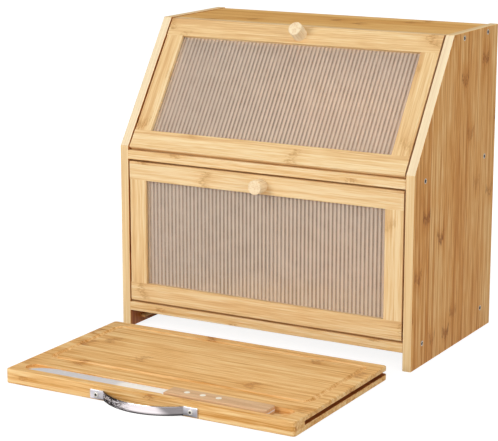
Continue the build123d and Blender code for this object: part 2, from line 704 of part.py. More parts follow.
# Pull: feet flat on the board's front, and one arc between the two bends
pull_rise = PULL_REACH - PULL_T
pull_r = (PULL_SPAN**2 / 4 + pull_rise**2) / (2 * pull_rise)
pull_inner_x = sqrt((pull_r - PULL_T) ** 2 - (PULL_REACH - pull_r) ** 2)
pull_end_x = PULL_SPAN / 2 + PULL_FOOT_L
with BuildPart() as pull_handle:
    with BuildSketch(Plane.XY.offset(PULL_Z - PULL_H / 2)):
        with BuildLine():
            Polyline(
                (pull_inner_x, BOARD_FRONT_Y),
                (pull_end_x, BOARD_FRONT_Y),
                (pull_end_x, BOARD_FRONT_Y - PULL_T),
                (PULL_SPAN / 2, BOARD_FRONT_Y - PULL_T),
            )
            ThreePointArc(
                (PULL_SPAN / 2, BOARD_FRONT_Y - PULL_T),
                (0, BOARD_FRONT_Y - PULL_REACH),
                (-PULL_SPAN / 2, BOARD_FRONT_Y - PULL_T),
            )
            Polyline(
                (-PULL_SPAN / 2, BOARD_FRONT_Y - PULL_T),
                (-pull_end_x, BOARD_FRONT_Y - PULL_T),
                (-pull_end_x, BOARD_FRONT_Y),
                (-pull_inner_x, BOARD_FRONT_Y),
            )
            ThreePointArc(
                (-pull_inner_x, BOARD_FRONT_Y),
                (0, BOARD_FRONT_Y - PULL_REACH + PULL_T),
                (pull_inner_x, BOARD_FRONT_Y),
            )
        make_face()
    extrude(amount=PULL_H)
    with BuildSketch(Plane.XZ.offset(-BOARD_FRONT_Y)):
        with Locations((-PULL_SCREW_X, PULL_Z), (PULL_SCREW_X, PULL_Z)):
            Circle(PULL_SCREW_R + SCREW_FIT)
    extrude(amount=PULL_T, mode=Mode.SUBTRACT)
save(pull_handle, "pull_handle")

with BuildPart() as pull_screws:
    with Locations(*[Plane(origin=(side * PULL_SCREW_X, BOARD_FRONT_Y - PULL_T, PULL_Z),
                           z_dir=(0, -1, 0)).location for side in (-1, 1)]):
        add(pull_screw)
save(pull_screws, "pull_screws")

# ---------------------------------------------------------------------------
# Bread knife, lying in the board's pocket with its point to the left
# ---------------------------------------------------------------------------

spine_y = KNIFE_Y - BLADE_W / 2
edge_y = KNIFE_Y + BLADE_W / 2
scallop_count = round((BLADE_L - TIP_SWEEP) / SCALLOP_PITCH)
scallop_w = (BLADE_L - TIP_SWEEP) / scallop_count
with BuildPart() as knife_blade:
    # Ground section, widest at the spine
    with BuildSketch(Plane.YZ.offset(TIP_X)):
        with BuildLine():
            mid_z = TANG_Z + BLADE_T / 2
            bevel_y = edge_y - BLADE_BEVEL_W
            Polyline(
                (spine_y, TANG_Z),
                (bevel_y, TANG_Z),
                (edge_y, mid_z - BLADE_EDGE_T / 2),
                (edge_y, mid_z + BLADE_EDGE_T / 2),
                (bevel_y, TANG_Z + BLADE_T),
                (spine_y, TANG_Z + BLADE_T),
                close=True,
            )
        make_face()
    extrude(amount=BLADE_L)
    # Outline: straight spine, scalloped edge, and a curve up to the point
    with BuildSketch(Plane.XY.offset(TANG_Z)):
        with BuildLine():
            Polyline((TIP_X, spine_y), (HEEL_X, spine_y), (HEEL_X, edge_y))
            for i in range(scallop_count):
                scallop_x = HEEL_X - i * scallop_w
                ThreePointArc(
                    (scallop_x, edge_y),
                    (scallop_x - scallop_w / 2, edge_y - SCALLOP_DEEP),
                    (scallop_x - scallop_w, edge_y),
                )
            TangentArc((TIP_X + TIP_SWEEP, edge_y), (TIP_X, spine_y), tangent=(-1, 0))
        make_face()
    extrude(amount=BLADE_T, mode=Mode.INTERSECT)
    # Tang, as wide as the handle
    with BuildSketch(Plane.XY.offset(TANG_Z)) as tang_outline:
        with Locations((HEEL_X, KNIFE_Y)):
            Rectangle(HANDLE_L, HANDLE_W, align=(Align.MIN, Align.CENTER))
        fillet(tang_outline.vertices().sort_by(Axis.X)[-2:], HANDLE_CORNER_R)
    extrude(amount=BLADE_T)
    with Locations(*[(x, KNIFE_Y, TANG_Z + BLADE_T) for x in RIVET_XS]):
        Hole(RIVET_SHANK_R + SNUG_FIT, BLADE_T)
save(knife_blade, "knife_blade")

# Scales: the outer face is rounded over, and the rivet heads sit in counterbores
for low_z, outward, name in (
    (TANG_Z - SCALE_T, -1, "handle_scale_lower"),
    (TANG_Z + BLADE_T, 1, "handle_scale_upper"),
):
    with BuildPart() as handle_scale:
        with BuildSketch(Plane.XY.offset(low_z)) as scale_outline:
            with Locations((HEEL_X, KNIFE_Y)):
                Rectangle(HANDLE_L, HANDLE_W, align=(Align.MIN, Align.CENTER))
            fillet(scale_outline.vertices().sort_by(Axis.X)[-2:], HANDLE_CORNER_R)
        extrude(amount=SCALE_T)
        outer_face = handle_scale.faces().filter_by(Axis.Z).sort_by(Axis.Z)
        outer_face = outer_face[-1] if outward > 0 else outer_face[0]
        fillet(outer_face.edges(), SCALE_EDGE_R)
        face_z = low_z + SCALE_T if outward > 0 else low_z
        with Locations(*[Plane(origin=(x, KNIFE_Y, face_z), z_dir=(0, 0, outward)).location
                         for x in RIVET_XS]):
            CounterBoreHole(RIVET_SHANK_R + SNUG_FIT, RIVET_R + SNUG_FIT, RIVET_HEAD_T, SCALE_T)
    save(handle_scale, name)

with BuildPart() as knife_rivets:
    for x in RIVET_XS:
        with BuildSketch(Plane.XY.offset(POCKET_Z)):
            with Locations((x, KNIFE_Y)):
                Circle(RIVET_R)
        extrude(amount=RIVET_HEAD_T)
        with BuildSketch(Plane.XY.offset(KNIFE_TOP_Z)):
            with Locations((x, KNIFE_Y)):
                Circle(RIVET_R)
        extrude(amount=-RIVET_HEAD_T)
        with BuildSketch(Plane.XY.offset(POCKET_Z)):
            with Locations((x, KNIFE_Y)):
                Circle(RIVET_SHANK_R)
        extrude(amount=KNIFE_TOP_Z - POCKET_Z)
save(knife_rivets, "knife_rivets")
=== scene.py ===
import math

import bmesh
import bpy
from mathutils import Matrix, Vector


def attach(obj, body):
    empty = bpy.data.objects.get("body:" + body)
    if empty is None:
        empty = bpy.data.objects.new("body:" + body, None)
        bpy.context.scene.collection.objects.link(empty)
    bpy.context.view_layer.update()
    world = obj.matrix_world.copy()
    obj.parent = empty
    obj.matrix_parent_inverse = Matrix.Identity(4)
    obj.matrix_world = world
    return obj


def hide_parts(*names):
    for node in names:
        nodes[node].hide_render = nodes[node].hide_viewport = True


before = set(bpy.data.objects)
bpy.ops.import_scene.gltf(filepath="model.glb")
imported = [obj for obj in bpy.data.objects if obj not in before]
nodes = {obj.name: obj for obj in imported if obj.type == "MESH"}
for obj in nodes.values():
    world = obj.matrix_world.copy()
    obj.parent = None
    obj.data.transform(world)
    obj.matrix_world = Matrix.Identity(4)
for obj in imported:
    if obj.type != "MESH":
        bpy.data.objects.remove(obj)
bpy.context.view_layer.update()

# ---------------------------------------------------------------------------
# Studio. A white sweep that runs out to white behind the box, a broad soft lamp high on the
# left for the fronts, and weaker ones above and on the right, so that the side stays darker.
# Polished surfaces see a dark room with a bright low front instead of the white.
# ---------------------------------------------------------------------------
CAMERA_AT = (1.01007, -1.78965, 0.63227)
CAMERA_TURN = math.radians(29.534)      # round from straight in front, to the right
CAMERA_LIFT = math.radians(12.855)      # above the horizon
CAMERA_LENS = 128.5
LAMPS_LOOK_AT = (0, 0, 0.15)
SWEEP_SIZE = 8.0
SWEEP_GREY = 0.72                       # what the table sends back to the object
SWEEP_GLOW = 0.88                       # the camera's share that no shadow darkens
SWEEP_SHADE = 0.26                      # the share that keeps the shadow
SHADOW_ENDS = (0.45, 0.90)              # from the middle of the table, where it fades to white
ROOM_LIGHT = 0.30                       # what the room's walls send back to the object
ROOM_DARK = 0.10                        # how the unlit end of the room shows in a polished surface
ROOM_AHEAD = 0.90                       # how much brighter the end in front shows there
AHEAD_FROM = (-0.45, -0.80)             # that end begins and is full at these directions' Y,
LOW_UNDER = (0.45, 0.25)                # and below these directions' Z
REFLECTED_STREAKS = (45, 150, 1)                   # painted streaks that polished surfaces mirror, 22 mm across and 7 mm deep
REFLECTED_STREAKS_CUT = (0.47, 0.53)               # the noise's values at their dark and light sides
REFLECTED_STREAKS_WHITE = 1.25
REFLECTED_PATCH_LEFT = -0.040                      # the painted bright patch before the pull, which the pull mirrors
REFLECTED_PATCH_RIGHT = 0.028
REFLECTED_PATCH_BLUR = 0.012
REFLECTED_PATCH_WHITE = 1.2
BEYOND_REFLECTED_PATCH = 0.36                      # the table past it
BOW_R = 0.078                           # the arc of the pull's bow, seen from above
BOW_CENTRE_Y = -0.184
BOW_PAINTED_SHADE = 0.04                        # painted shade on the table close to the bow, seen only in reflection
BOW_PAINTED_SHADE_R = (0.004, 0.012)            # from the bow, where that shade is full and ends
REFLECTED_PATCH_FADE = 0.020


def add(tree, kind, inputs=(), stops=(), **settings):
    """Add a node: its settings, the stops of its colour ramp, and then each input, from a value
    or from another node's socket."""
    made = tree.nodes.new(kind)
    for name, value in settings.items():
        setattr(made, name, value)
    for number, (position, code) in enumerate(stops):
        ramp = made.color_ramp.elements
        stop = ramp[number] if number < len(ramp) else ramp.new(position)
        stop.position = position
        stop.color = linear(code)
    for socket, value in dict(inputs).items():
        if isinstance(value, bpy.types.NodeSocket):
            tree.links.new(value, made.inputs[socket])
        else:
            made.inputs[socket].default_value = value
    return made


def linear(code):
    """The linear colour of an sRGB hex code."""
    shares = [int(code[i : i + 2], 16) / 255 for i in (0, 2, 4)]
    return tuple(
        c / 12.92 if c <= 0.04045 else ((c + 0.055) / 1.055) ** 2.4 for c in shares
    ) + (1.0,)


def blank_material(name):
    """A new material and its node tree, still empty."""
    made = bpy.data.materials.new(name)
    made.use_nodes = True
    made.node_tree.nodes.clear()
    return made, made.node_tree


def look_along(back):
    """The turn that points a lamp or the camera against this direction."""
    return (-back).to_track_quat("-Z", "Y").to_euler()


camera = bpy.data.objects.new("camera", bpy.data.cameras.new("camera"))
camera.data.lens = CAMERA_LENS
camera.data.sensor_width = 36
camera.location = CAMERA_AT
camera.rotation_euler = look_along(Vector((
    math.sin(CAMERA_TURN) * math.cos(CAMERA_LIFT),
    -math.cos(CAMERA_TURN) * math.cos(CAMERA_LIFT),
    math.sin(CAMERA_LIFT),
)))
bpy.context.scene.collection.objects.link(camera)
bpy.context.scene.camera = camera
bpy.context.scene.view_settings.view_transform = "Standard"

for name, away, distance, size, watts in (
    ("broad_lamp_left", (-0.42, -1.0, 0.45), 2.6, 1.5, 38.0),
    ("fill_lamp_right", (1.0, -0.45, 0.35), 2.8, 1.6, 20.0),
    ("top_lamp", (0.15, 0.35, 1.0), 2.4, 1.6, 24.0),
):
    lamp = bpy.data.objects.new(name, bpy.data.lights.new(name, "AREA"))
    lamp.data.shape = "SQUARE"
    lamp.data.size = size
    lamp.data.energy = watts
    lamp.location = Vector(LAMPS_LOOK_AT) + Vector(away).normalized() * distance
    lamp.rotation_euler = look_along(Vector(away))
    bpy.context.scene.collection.objects.link(lamp)

room = bpy.data.worlds.new("room")
bpy.context.scene.world = room
room.use_nodes = True
tree = room.node_tree
tree.nodes.clear()
path = add(tree, "ShaderNodeLightPath")
seen = add(tree, "ShaderNodeMath", {0: path.outputs["Is Camera Ray"],
                                    1: path.outputs["Is Transmission Ray"]}, operation="MAXIMUM")
level = add(tree, "ShaderNodeMapRange", {"Value": seen.outputs[0], "To Min": ROOM_LIGHT,
                                         "To Max": 1.0})
aim = add(tree, "ShaderNodeTexCoord")
aim = add(tree, "ShaderNodeSeparateXYZ", {0: aim.outputs["Generated"]})
ahead = add(tree, "ShaderNodeMapRange", {"Value": aim.outputs[1], "From Min": AHEAD_FROM[0],
                                         "From Max": AHEAD_FROM[1], "To Max": ROOM_AHEAD})
low_down = add(tree, "ShaderNodeMapRange", {"Value": aim.outputs[2], "From Min": LOW_UNDER[0],
                                            "From Max": LOW_UNDER[1]})
mirrored = add(tree, "ShaderNodeMath", {0: ahead.outputs[0], 1: low_down.outputs[0],
                                        2: ROOM_DARK}, operation="MULTIPLY_ADD")
level = add(tree, "ShaderNodeMix", {0: path.outputs["Is Glossy Ray"], 2: level.outputs[0],
                                    3: mirrored.outputs[0]})
sky = add(tree, "ShaderNodeBackground", {"Color": (1, 1, 1, 1), "Strength": level.outputs[0]})
add(tree, "ShaderNodeOutputWorld", {"Surface": sky.outputs[0]})

sweep_mesh = bpy.data.meshes.new("sweep")
half = SWEEP_SIZE / 2
sweep_mesh.from_pydata(
    [(-half, -half, 0), (half, -half, 0), (half, half, 0), (-half, half, 0)], [], [(0, 1, 2, 3)]
)
sweep = bpy.data.objects.new("sweep", sweep_mesh)
bpy.context.scene.collection.objects.link(sweep)
sweep_paper, tree = blank_material("white_sweep_paper")
path = add(tree, "ShaderNodeLightPath")
seen = add(tree, "ShaderNodeMath", {0: path.outputs["Is Camera Ray"],
                                    1: path.outputs["Is Transmission Ray"]}, operation="MAXIMUM")
lit = add(tree, "ShaderNodeBsdfDiffuse", {"Color": (SWEEP_GREY, SWEEP_GREY, SWEEP_GREY, 1)})
shade = add(tree, "ShaderNodeBsdfDiffuse", {"Color": (SWEEP_SHADE, SWEEP_SHADE, SWEEP_SHADE, 1)})
spot = add(tree, "ShaderNodeTexCoord")
away = add(tree, "ShaderNodeVectorMath", {0: spot.outputs["Object"]}, operation="LENGTH")
level = add(tree, "ShaderNodeMapRange", {
    "Value": away.outputs["Value"], "From Min": SHADOW_ENDS[0], "From Max": SHADOW_ENDS[1],
    "To Min": SWEEP_GLOW}, interpolation_type="SMOOTHSTEP")
glow = add(tree, "ShaderNodeEmission", {"Strength": level.outputs[0]})
shown = add(tree, "ShaderNodeAddShader", {0: shade.outputs[0], 1: glow.outputs[0]})
paper = add(tree, "ShaderNodeMixShader", {0: seen.outputs[0], 1: lit.outputs[0],
                                          2: shown.outputs[0]})

# Only polished surfaces see painted reflections on the table: painted dark and light streaks off to
# the left, a painted bright patch in the middle, and a painted shade round the foot of the pull's
# bow
place = add(tree, "ShaderNodeSeparateXYZ", {0: spot.outputs["Object"]})
streak_coords = add(tree, "ShaderNodeVectorMath", {0: spot.outputs["Object"], 1: REFLECTED_STREAKS},
           operation="MULTIPLY")
reflected_streaks = add(tree, "ShaderNodeTexNoise", {"Vector": streak_coords.outputs[0], "Scale": 1.0,
                                          "Detail": 1.0, "Distortion": 1.5})
reflected_streaks = add(tree, "ShaderNodeMapRange", {"Value": reflected_streaks.outputs["Fac"],
                                          "From Min": REFLECTED_STREAKS_CUT[0], "From Max": REFLECTED_STREAKS_CUT[1],
                                          "To Max": REFLECTED_STREAKS_WHITE})
# Painted reflection: a bright patch in the middle, dimmer past its right side
reflected_patch = add(tree, "ShaderNodeMapRange", {
    "Value": place.outputs[0], "From Min": REFLECTED_PATCH_LEFT - REFLECTED_PATCH_BLUR,
    "From Max": REFLECTED_PATCH_LEFT + REFLECTED_PATCH_BLUR}, interpolation_type="SMOOTHSTEP")
mirrored = add(tree, "ShaderNodeMix", {0: reflected_patch.outputs[0], 2: reflected_streaks.outputs[0], 3: 1.0})
beyond = add(tree, "ShaderNodeMapRange", {
    "Value": place.outputs[0], "From Min": REFLECTED_PATCH_RIGHT, "From Max": REFLECTED_PATCH_RIGHT + REFLECTED_PATCH_FADE,
    "To Min": REFLECTED_PATCH_WHITE, "To Max": BEYOND_REFLECTED_PATCH}, interpolation_type="SMOOTHSTEP")
mirrored = add(tree, "ShaderNodeMath", {0: mirrored.outputs[0], 1: beyond.outputs[0]},
               operation="MULTIPLY")
# Painted shade on the table round the bow's foot, seen only in reflection
from_bow = add(tree, "ShaderNodeVectorMath", {0: spot.outputs["Object"],
                                              1: (0, BOW_CENTRE_Y, 0)}, operation="DISTANCE")
bow_painted_shade = add(tree, "ShaderNodeMapRange", {
    "Value": from_bow.outputs["Value"], "From Min": BOW_R + BOW_PAINTED_SHADE_R[0],
    "From Max": BOW_R + BOW_PAINTED_SHADE_R[1], "To Min": BOW_PAINTED_SHADE}, interpolation_type="SMOOTHSTEP")
mirrored = add(tree, "ShaderNodeMath", {0: mirrored.outputs[0], 1: bow_painted_shade.outputs[0]},
               operation="MULTIPLY")
mirrored = add(tree, "ShaderNodeEmission", {"Color": linear("FCF7F7"),
                                            "Strength": mirrored.outputs[0]})
table = add(tree, "ShaderNodeMixShader", {0: path.outputs["Is Glossy Ray"], 1: paper.outputs[0],
                                          2: mirrored.outputs[0]})
add(tree, "ShaderNodeOutputMaterial", {"Surface": table.outputs[0]})
sweep_mesh.materials.append(sweep_paper)

# ---------------------------------------------------------------------------
# Cabinet panels. Flat-pressed bamboo board: strips about 21 mm wide, planed, glued side by
# side in layers, sanded and given a thin satin lacquer. Each keeps its own tint, fine fibres
# and brushy partition marks. The sides have the grain upright, top and shelves across.
# ---------------------------------------------------------------------------
STRIP_W = 0.021
STRIPS_BEFORE = 50.37                   # counted from here, so that no strip has a number below 0
LAYERS_BEFORE = 200
FIBRES = (24, 800, 800)                 # noise per metre: 40 mm long and 1.2 mm apart
STREAKS = (4.5, 205, 205)               # broad ones, 5 mm across
FRAYS = (160, 620, 620)                 # the brushy ends of a partition's mark
NODE_SPACING = 0.36                     # between the culm's partitions
MARK_POINT = 0.016                      # how far its middle runs ahead of the strip's edges
MARK_FRAY = 0.030                       # and how far its ends are drawn out in brush strokes
MARK_MIDDLE = 0.017
MARK_ENDS = (0.0080, 0.0030)            # from its middle, to where it begins and is full
MARK_GAPS = (0.40, 0.56)                # the noise's values between its brush strokes and in them
MARK_FAINTEST = 0.3
HALO_END = 0.030                        # the darker wood round it
HALO_SHADE = 0.22
TINT_SPREAD = 0.22                      # a strip's tone against the next one's
STREAK_TONE = 1.9
FIBRE_TONE = 2.1
JOINT_SHADE = 0.22                      # the glue line between two strips
GLOSS_SPREAD = 0.08                     # between fibres and the wood in between
PLY_LINES = (700, 4, 7)                 # the layers in a panel's cut edge, 1.4 mm apart
KINK_Z = 0.232                          # where the side panels' front edge starts to lean
TOP_Z = 0.382
KINK_EASED = 0.0008                     # the rounding at both ends of the lean
EDGE_EASED = 0.0004                     # and between a panel's faces and its edges
SKIN = 0.0002                           # this near to a face, a point belongs to it
SLOPE_HIGHLIGHT = 0.42                      # how strongly the leaning edge is painted paler, a painted highlight
BACK_EDGE_Y = (0.201, 0.200)            # the painted highlight stops at the edge behind these
LEAN = math.radians(35.0)
UPRIGHT = Vector((0, 0, 1))
SIDEWAYS = Vector((1, 0, 0))
REARWARD = Vector((0, 1, 0))
UP_SLOPE = Vector((0, math.sin(LEAN), math.cos(LEAN)))


def laminated_bamboo(name, grain, across, shades, ply, seed, mark="A9713A", marked=0.62,
                     gloss=0.44, strip=STRIP_W, cut_faces=None, slots=None):
    """Bamboo strips that run along grain and lie side by side along across: each its own
    honey, with fine darker fibres in it and a soft shine over all.
    shades are the dark, middle and pale honey; ply is where a layer starts and its thickness.
    cut_faces, for an upright side panel, are the |X| of its inner and outer face: its cut
    edges between them are paler, the leaning front edge has a painted highlight, and the inner
    face is drawn browner, a painted shade for the inside of the box.
    slots, for a board grooved in both side edges, are the |X| of the grooves' floor and mouth,
    the Z of their walls and the Y they start behind: their walls are drawn darker."""
    made, tree = blank_material(name)
    spot = add(tree, "ShaderNodeTexCoord")
    turn = Matrix((grain, across, grain.cross(across))).to_euler()
    laid = add(tree, "ShaderNodeMapping", {"Vector": spot.outputs["Object"], "Rotation": turn})
    axes = add(tree, "ShaderNodeSeparateXYZ", {0: laid.outputs[0]})
    along, side, through = axes.outputs

    # Which strip, and how far from its middle (0) to its edge (1)
    strips = add(tree, "ShaderNodeMath", {0: side, 1: 1 / strip, 2: STRIPS_BEFORE + seed * 0.13},
                 operation="MULTIPLY_ADD")
    number = add(tree, "ShaderNodeMath", {0: strips.outputs[0]}, operation="FLOOR")
    layers = add(tree, "ShaderNodeMath", {
        0: through, 1: 1 / ply[1], 2: LAYERS_BEFORE - ply[0] / ply[1]}, operation="MULTIPLY_ADD")
    layer = add(tree, "ShaderNodeMath", {0: layers.outputs[0]}, operation="FLOOR")
    within = add(tree, "ShaderNodeMath", {0: strips.outputs[0], 1: 1.0}, operation="FRACT")
    edge = add(tree, "ShaderNodeMath", {0: within.outputs[0], 1: 0.5, 2: 0.5}, operation="PINGPONG")
    cell = add(tree, "ShaderNodeCombineXYZ", {0: number.outputs[0], 1: layer.outputs[0], 2: seed})
    chance = add(tree, "ShaderNodeTexWhiteNoise", {"Vector": cell.outputs[0]},
                 noise_dimensions="3D")
    lots = add(tree, "ShaderNodeSeparateColor", {0: chance.outputs["Color"]})

    # Fine fibres and broad streaks, which start anew in each strip
    shifted = add(tree, "ShaderNodeVectorMath", {0: laid.outputs[0], 1: chance.outputs["Color"]},
                  operation="ADD")
    thin = add(tree, "ShaderNodeVectorMath", {0: shifted.outputs[0], 1: FIBRES},
               operation="MULTIPLY")
    fibres = add(tree, "ShaderNodeTexNoise", {"Vector": thin.outputs[0], "Scale": 1.0,
                                              "Detail": 2.0, "Roughness": 0.6})
    wide = add(tree, "ShaderNodeVectorMath", {0: shifted.outputs[0], 1: STREAKS},
               operation="MULTIPLY")
    streaks = add(tree, "ShaderNodeTexNoise", {"Vector": wide.outputs[0], "Scale": 1.0,
                                               "Detail": 2.0, "Roughness": 0.5})

    # Distance along the strip to its nearest partition mark, drawn out into an arrow; 20 keeps
    # the count above 0, and chance moves a strip along by up to 7 spacings
    count = add(tree, "ShaderNodeMath", {0: along, 1: 1 / NODE_SPACING, 2: 20.0},
                operation="MULTIPLY_ADD")
    start = add(tree, "ShaderNodeMath", {0: lots.outputs[1], 1: 7.0, 2: count.outputs[0]},
                operation="MULTIPLY_ADD")
    turn_of = add(tree, "ShaderNodeMath", {0: start.outputs[0]}, operation="FRACT")
    signed = add(tree, "ShaderNodeMath", {0: turn_of.outputs[0], 1: NODE_SPACING,
                                          2: -NODE_SPACING / 2}, operation="MULTIPLY_ADD")
    arrow = add(tree, "ShaderNodeMath", {0: edge.outputs[0], 1: MARK_POINT, 2: signed.outputs[0]},
                operation="MULTIPLY_ADD")
    ragged = add(tree, "ShaderNodeVectorMath", {0: shifted.outputs[0], 1: FRAYS},
                 operation="MULTIPLY")
    brush = add(tree, "ShaderNodeTexNoise", {"Vector": ragged.outputs[0], "Scale": 1.0,
                                             "Detail": 2.0, "Roughness": 0.7})
    frayed = add(tree, "ShaderNodeMath", {0: brush.outputs["Fac"], 1: MARK_FRAY,
                                          2: arrow.outputs[0]}, operation="MULTIPLY_ADD")
    centred = add(tree, "ShaderNodeMath", {0: frayed.outputs[0], 1: -MARK_MIDDLE}, operation="ADD")
    apart = add(tree, "ShaderNodeMath", {0: centred.outputs[0]}, operation="ABSOLUTE")
    near = add(tree, "ShaderNodeMapRange", {
        "Value": apart.outputs[0], "From Min": MARK_ENDS[0], "From Max": MARK_ENDS[1]},
        interpolation_type="SMOOTHSTEP")
    halo = add(tree, "ShaderNodeMapRange", {
        "Value": apart.outputs[0], "From Min": HALO_END, "From Max": 0.0, "To Max": HALO_SHADE},
        interpolation_type="SMOOTHSTEP")
    brushy = add(tree, "ShaderNodeMapRange", {
        "Value": brush.outputs["Fac"], "From Min": MARK_GAPS[0], "From Max": MARK_GAPS[1]})
    strength = add(tree, "ShaderNodeMapRange", {"Value": lots.outputs[2], "From Min": 0.1,
                                                "From Max": 0.7, "To Min": MARK_FAINTEST,
                                                "To Max": marked})
    inked = add(tree, "ShaderNodeMath", {0: near.outputs[0], 1: brushy.outputs[0]},
                operation="MULTIPLY")
    inked = add(tree, "ShaderNodeMath", {0: inked.outputs[0], 1: strength.outputs[0]},
                operation="MULTIPLY")

    # Tone: the strip's own tint, its streaks and its fibres, with 0.5 for the middle honey
    own = add(tree, "ShaderNodeMapRange", {"Value": lots.outputs[0], "To Min": -TINT_SPREAD,
                                           "To Max": TINT_SPREAD})
    tone = add(tree, "ShaderNodeMath", {0: streaks.outputs["Fac"], 1: STREAK_TONE,
                                        2: 0.5 - STREAK_TONE / 2}, operation="MULTIPLY_ADD")
    tone = add(tree, "ShaderNodeMath", {0: tone.outputs[0], 1: own.outputs[0]}, operation="ADD")
    grainy = add(tree, "ShaderNodeMath", {0: fibres.outputs["Fac"], 1: FIBRE_TONE,
                                          2: -FIBRE_TONE / 2}, operation="MULTIPLY_ADD")
    tone = add(tree, "ShaderNodeMath", {0: tone.outputs[0], 1: grainy.outputs[0]}, operation="ADD")
    tone = add(tree, "ShaderNodeMath", {0: tone.outputs[0], 1: halo.outputs[0]},
               operation="SUBTRACT")
    ramp = add(tree, "ShaderNodeValToRGB", {0: tone.outputs[0]}, stops=zip((0.0, 0.5, 1.0), shades))
    marked_over = add(tree, "ShaderNodeMix", {0: inked.outputs[0], 6: ramp.outputs[0],
                                              7: linear(mark)}, data_type="RGBA")
    joint = add(tree, "ShaderNodeMapRange", {"Value": edge.outputs[0], "From Min": 0.485,
                                             "From Max": 0.5, "To Max": JOINT_SHADE})
    glued = add(tree, "ShaderNodeMix", {0: joint.outputs[0], 6: marked_over.outputs[2],
                                        7: linear(mark)}, data_type="RGBA")

    colour = glued.outputs[2]
    if cut_faces or slots:
        place = add(tree, "ShaderNodeSeparateXYZ", {0: spot.outputs["Object"]})
        out = add(tree, "ShaderNodeMath", {0: place.outputs[0]}, operation="ABSOLUTE")
    if cut_faces:
        plies = add(tree, "ShaderNodeVectorMath", {0: spot.outputs["Object"], 1: PLY_LINES},
                    operation="MULTIPLY")
        lines = add(tree, "ShaderNodeTexNoise", {"Vector": plies.outputs[0], "Scale": 1.0,
                                                 "Detail": 2.0})
        pale = add(tree, "ShaderNodeValToRGB", {0: lines.outputs["Fac"]},
                   stops=((0.3, "E2B981"), (0.7, "F6DBA9")))
        # Painted highlight: the leaning front edge is drawn paler, towards a pale cream
        leaning_highlight = add(tree, "ShaderNodeMath", {
            0: place.outputs[2], 1: (KINK_Z + TOP_Z) / 2, 2: (TOP_Z - KINK_Z) / 2 - KINK_EASED},
            operation="COMPARE")
        in_front = add(tree, "ShaderNodeMapRange", {
            "Value": place.outputs[1], "From Min": BACK_EDGE_Y[0], "From Max": BACK_EDGE_Y[1],
            "To Max": SLOPE_HIGHLIGHT})
        leaning_highlight = add(tree, "ShaderNodeMath", {0: leaning_highlight.outputs[0], 1: in_front.outputs[0]},
                      operation="MULTIPLY")
        pale = add(tree, "ShaderNodeMix", {0: leaning_highlight.outputs[0], 6: pale.outputs[0],
                                           7: linear("FDF3D8")}, data_type="RGBA")
        is_edge = add(tree, "ShaderNodeMath", {
            0: out.outputs[0], 1: sum(cut_faces) / 2,
            2: (cut_faces[1] - cut_faces[0]) / 2 - EDGE_EASED}, operation="COMPARE")
        edged = add(tree, "ShaderNodeMix", {0: is_edge.outputs[0], 6: colour,
                                            7: pale.outputs[2]}, data_type="RGBA")
        # Painted shade: the inner face is multiplied browner
        is_inner = add(tree, "ShaderNodeMath", {0: out.outputs[0], 1: cut_faces[0] + SKIN},
                       operation="LESS_THAN")
        inner_face_shade = add(tree, "ShaderNodeMix", {0: is_inner.outputs[0], 6: edged.outputs[2],
                                             7: linear("CBA98C")}, data_type="RGBA",
                     blend_type="MULTIPLY")
        colour = inner_face_shade.outputs[2]
    if slots:
        floor, mouth, low, high, front = slots
        is_in = add(tree, "ShaderNodeMath", {
            0: out.outputs[0], 1: (floor + mouth) / 2, 2: (mouth - floor) / 2 - SKIN},
            operation="COMPARE")
        is_between = add(tree, "ShaderNodeMath", {
            0: place.outputs[2], 1: (low + high) / 2, 2: (high - low) / 2 + SKIN / 2},
            operation="COMPARE")
        is_slot = add(tree, "ShaderNodeMath", {0: is_in.outputs[0], 1: is_between.outputs[0]},
                      operation="MULTIPLY")
        is_behind = add(tree, "ShaderNodeMath", {0: place.outputs[1], 1: front},
                        operation="GREATER_THAN")
        is_slot = add(tree, "ShaderNodeMath", {0: is_slot.outputs[0], 1: is_behind.outputs[0]},
                      operation="MULTIPLY")
        grooved = add(tree, "ShaderNodeMix", {0: is_slot.outputs[0], 6: colour,
                                              7: linear("BE8C66")}, data_type="RGBA",
                      blend_type="MULTIPLY")
        colour = grooved.outputs[2]

    sheen = add(tree, "ShaderNodeMapRange", {"Value": fibres.outputs["Fac"],
                                             "To Min": gloss - GLOSS_SPREAD,
                                             "To Max": gloss + GLOSS_SPREAD})
    pores = add(tree, "ShaderNodeBump", {"Height": fibres.outputs["Fac"], "Strength": 0.12,
                                         "Distance": 0.0004})
    surface = add(tree, "ShaderNodeBsdfPrincipled", {
        "Base Color": colour, "Roughness": sheen.outputs[0],
        "Normal": pores.outputs[0], "IOR": 1.45, "Specular IOR Level": 0.3,
    })
    add(tree, "ShaderNodeOutputMaterial", {"Surface": surface.outputs[0]})
    return made


def finish(material, *names):
    """Give CAD nodes this material."""
    for name in names:
        mesh = nodes[name].data
        mesh.materials.clear()
        mesh.materials.append(material)
        for face in mesh.polygons:
            face.material_index = 0


side_bamboo = laminated_bamboo(
    "lacquered_bamboo_upright", UPRIGHT, REARWARD, ("C37C34", "E1A257", "F4CA8D"),
    ply=(-0.2001, 0.0058), seed=3, mark="8F501C", marked=0.85, cut_faces=(0.1885, 0.200))
top_bamboo = laminated_bamboo(
    "lacquered_bamboo_top", SIDEWAYS, REARWARD, ("CB8A38", "E6AC5A", "F3C67C"),
    ply=(0.0189, 0.00583), seed=17, mark="A0652A", marked=0.7)
shelf_bamboo = laminated_bamboo(
    "lacquered_bamboo_across", SIDEWAYS, REARWARD, ("DAA96A", "EEC88E", "F9E0B4"),
    ply=(0.0189, 0.00583), seed=11, mark="AE7436", marked=0.6)
back_bamboo = laminated_bamboo(
    "bamboo_back_panel", SIDEWAYS, UPRIGHT, ("B98148", "CF9C5E", "DFB57C"),
    ply=(0.2509, 0.005), seed=19, mark="94602B", gloss=0.6)
finish(side_bamboo, "side_left", "side_right")
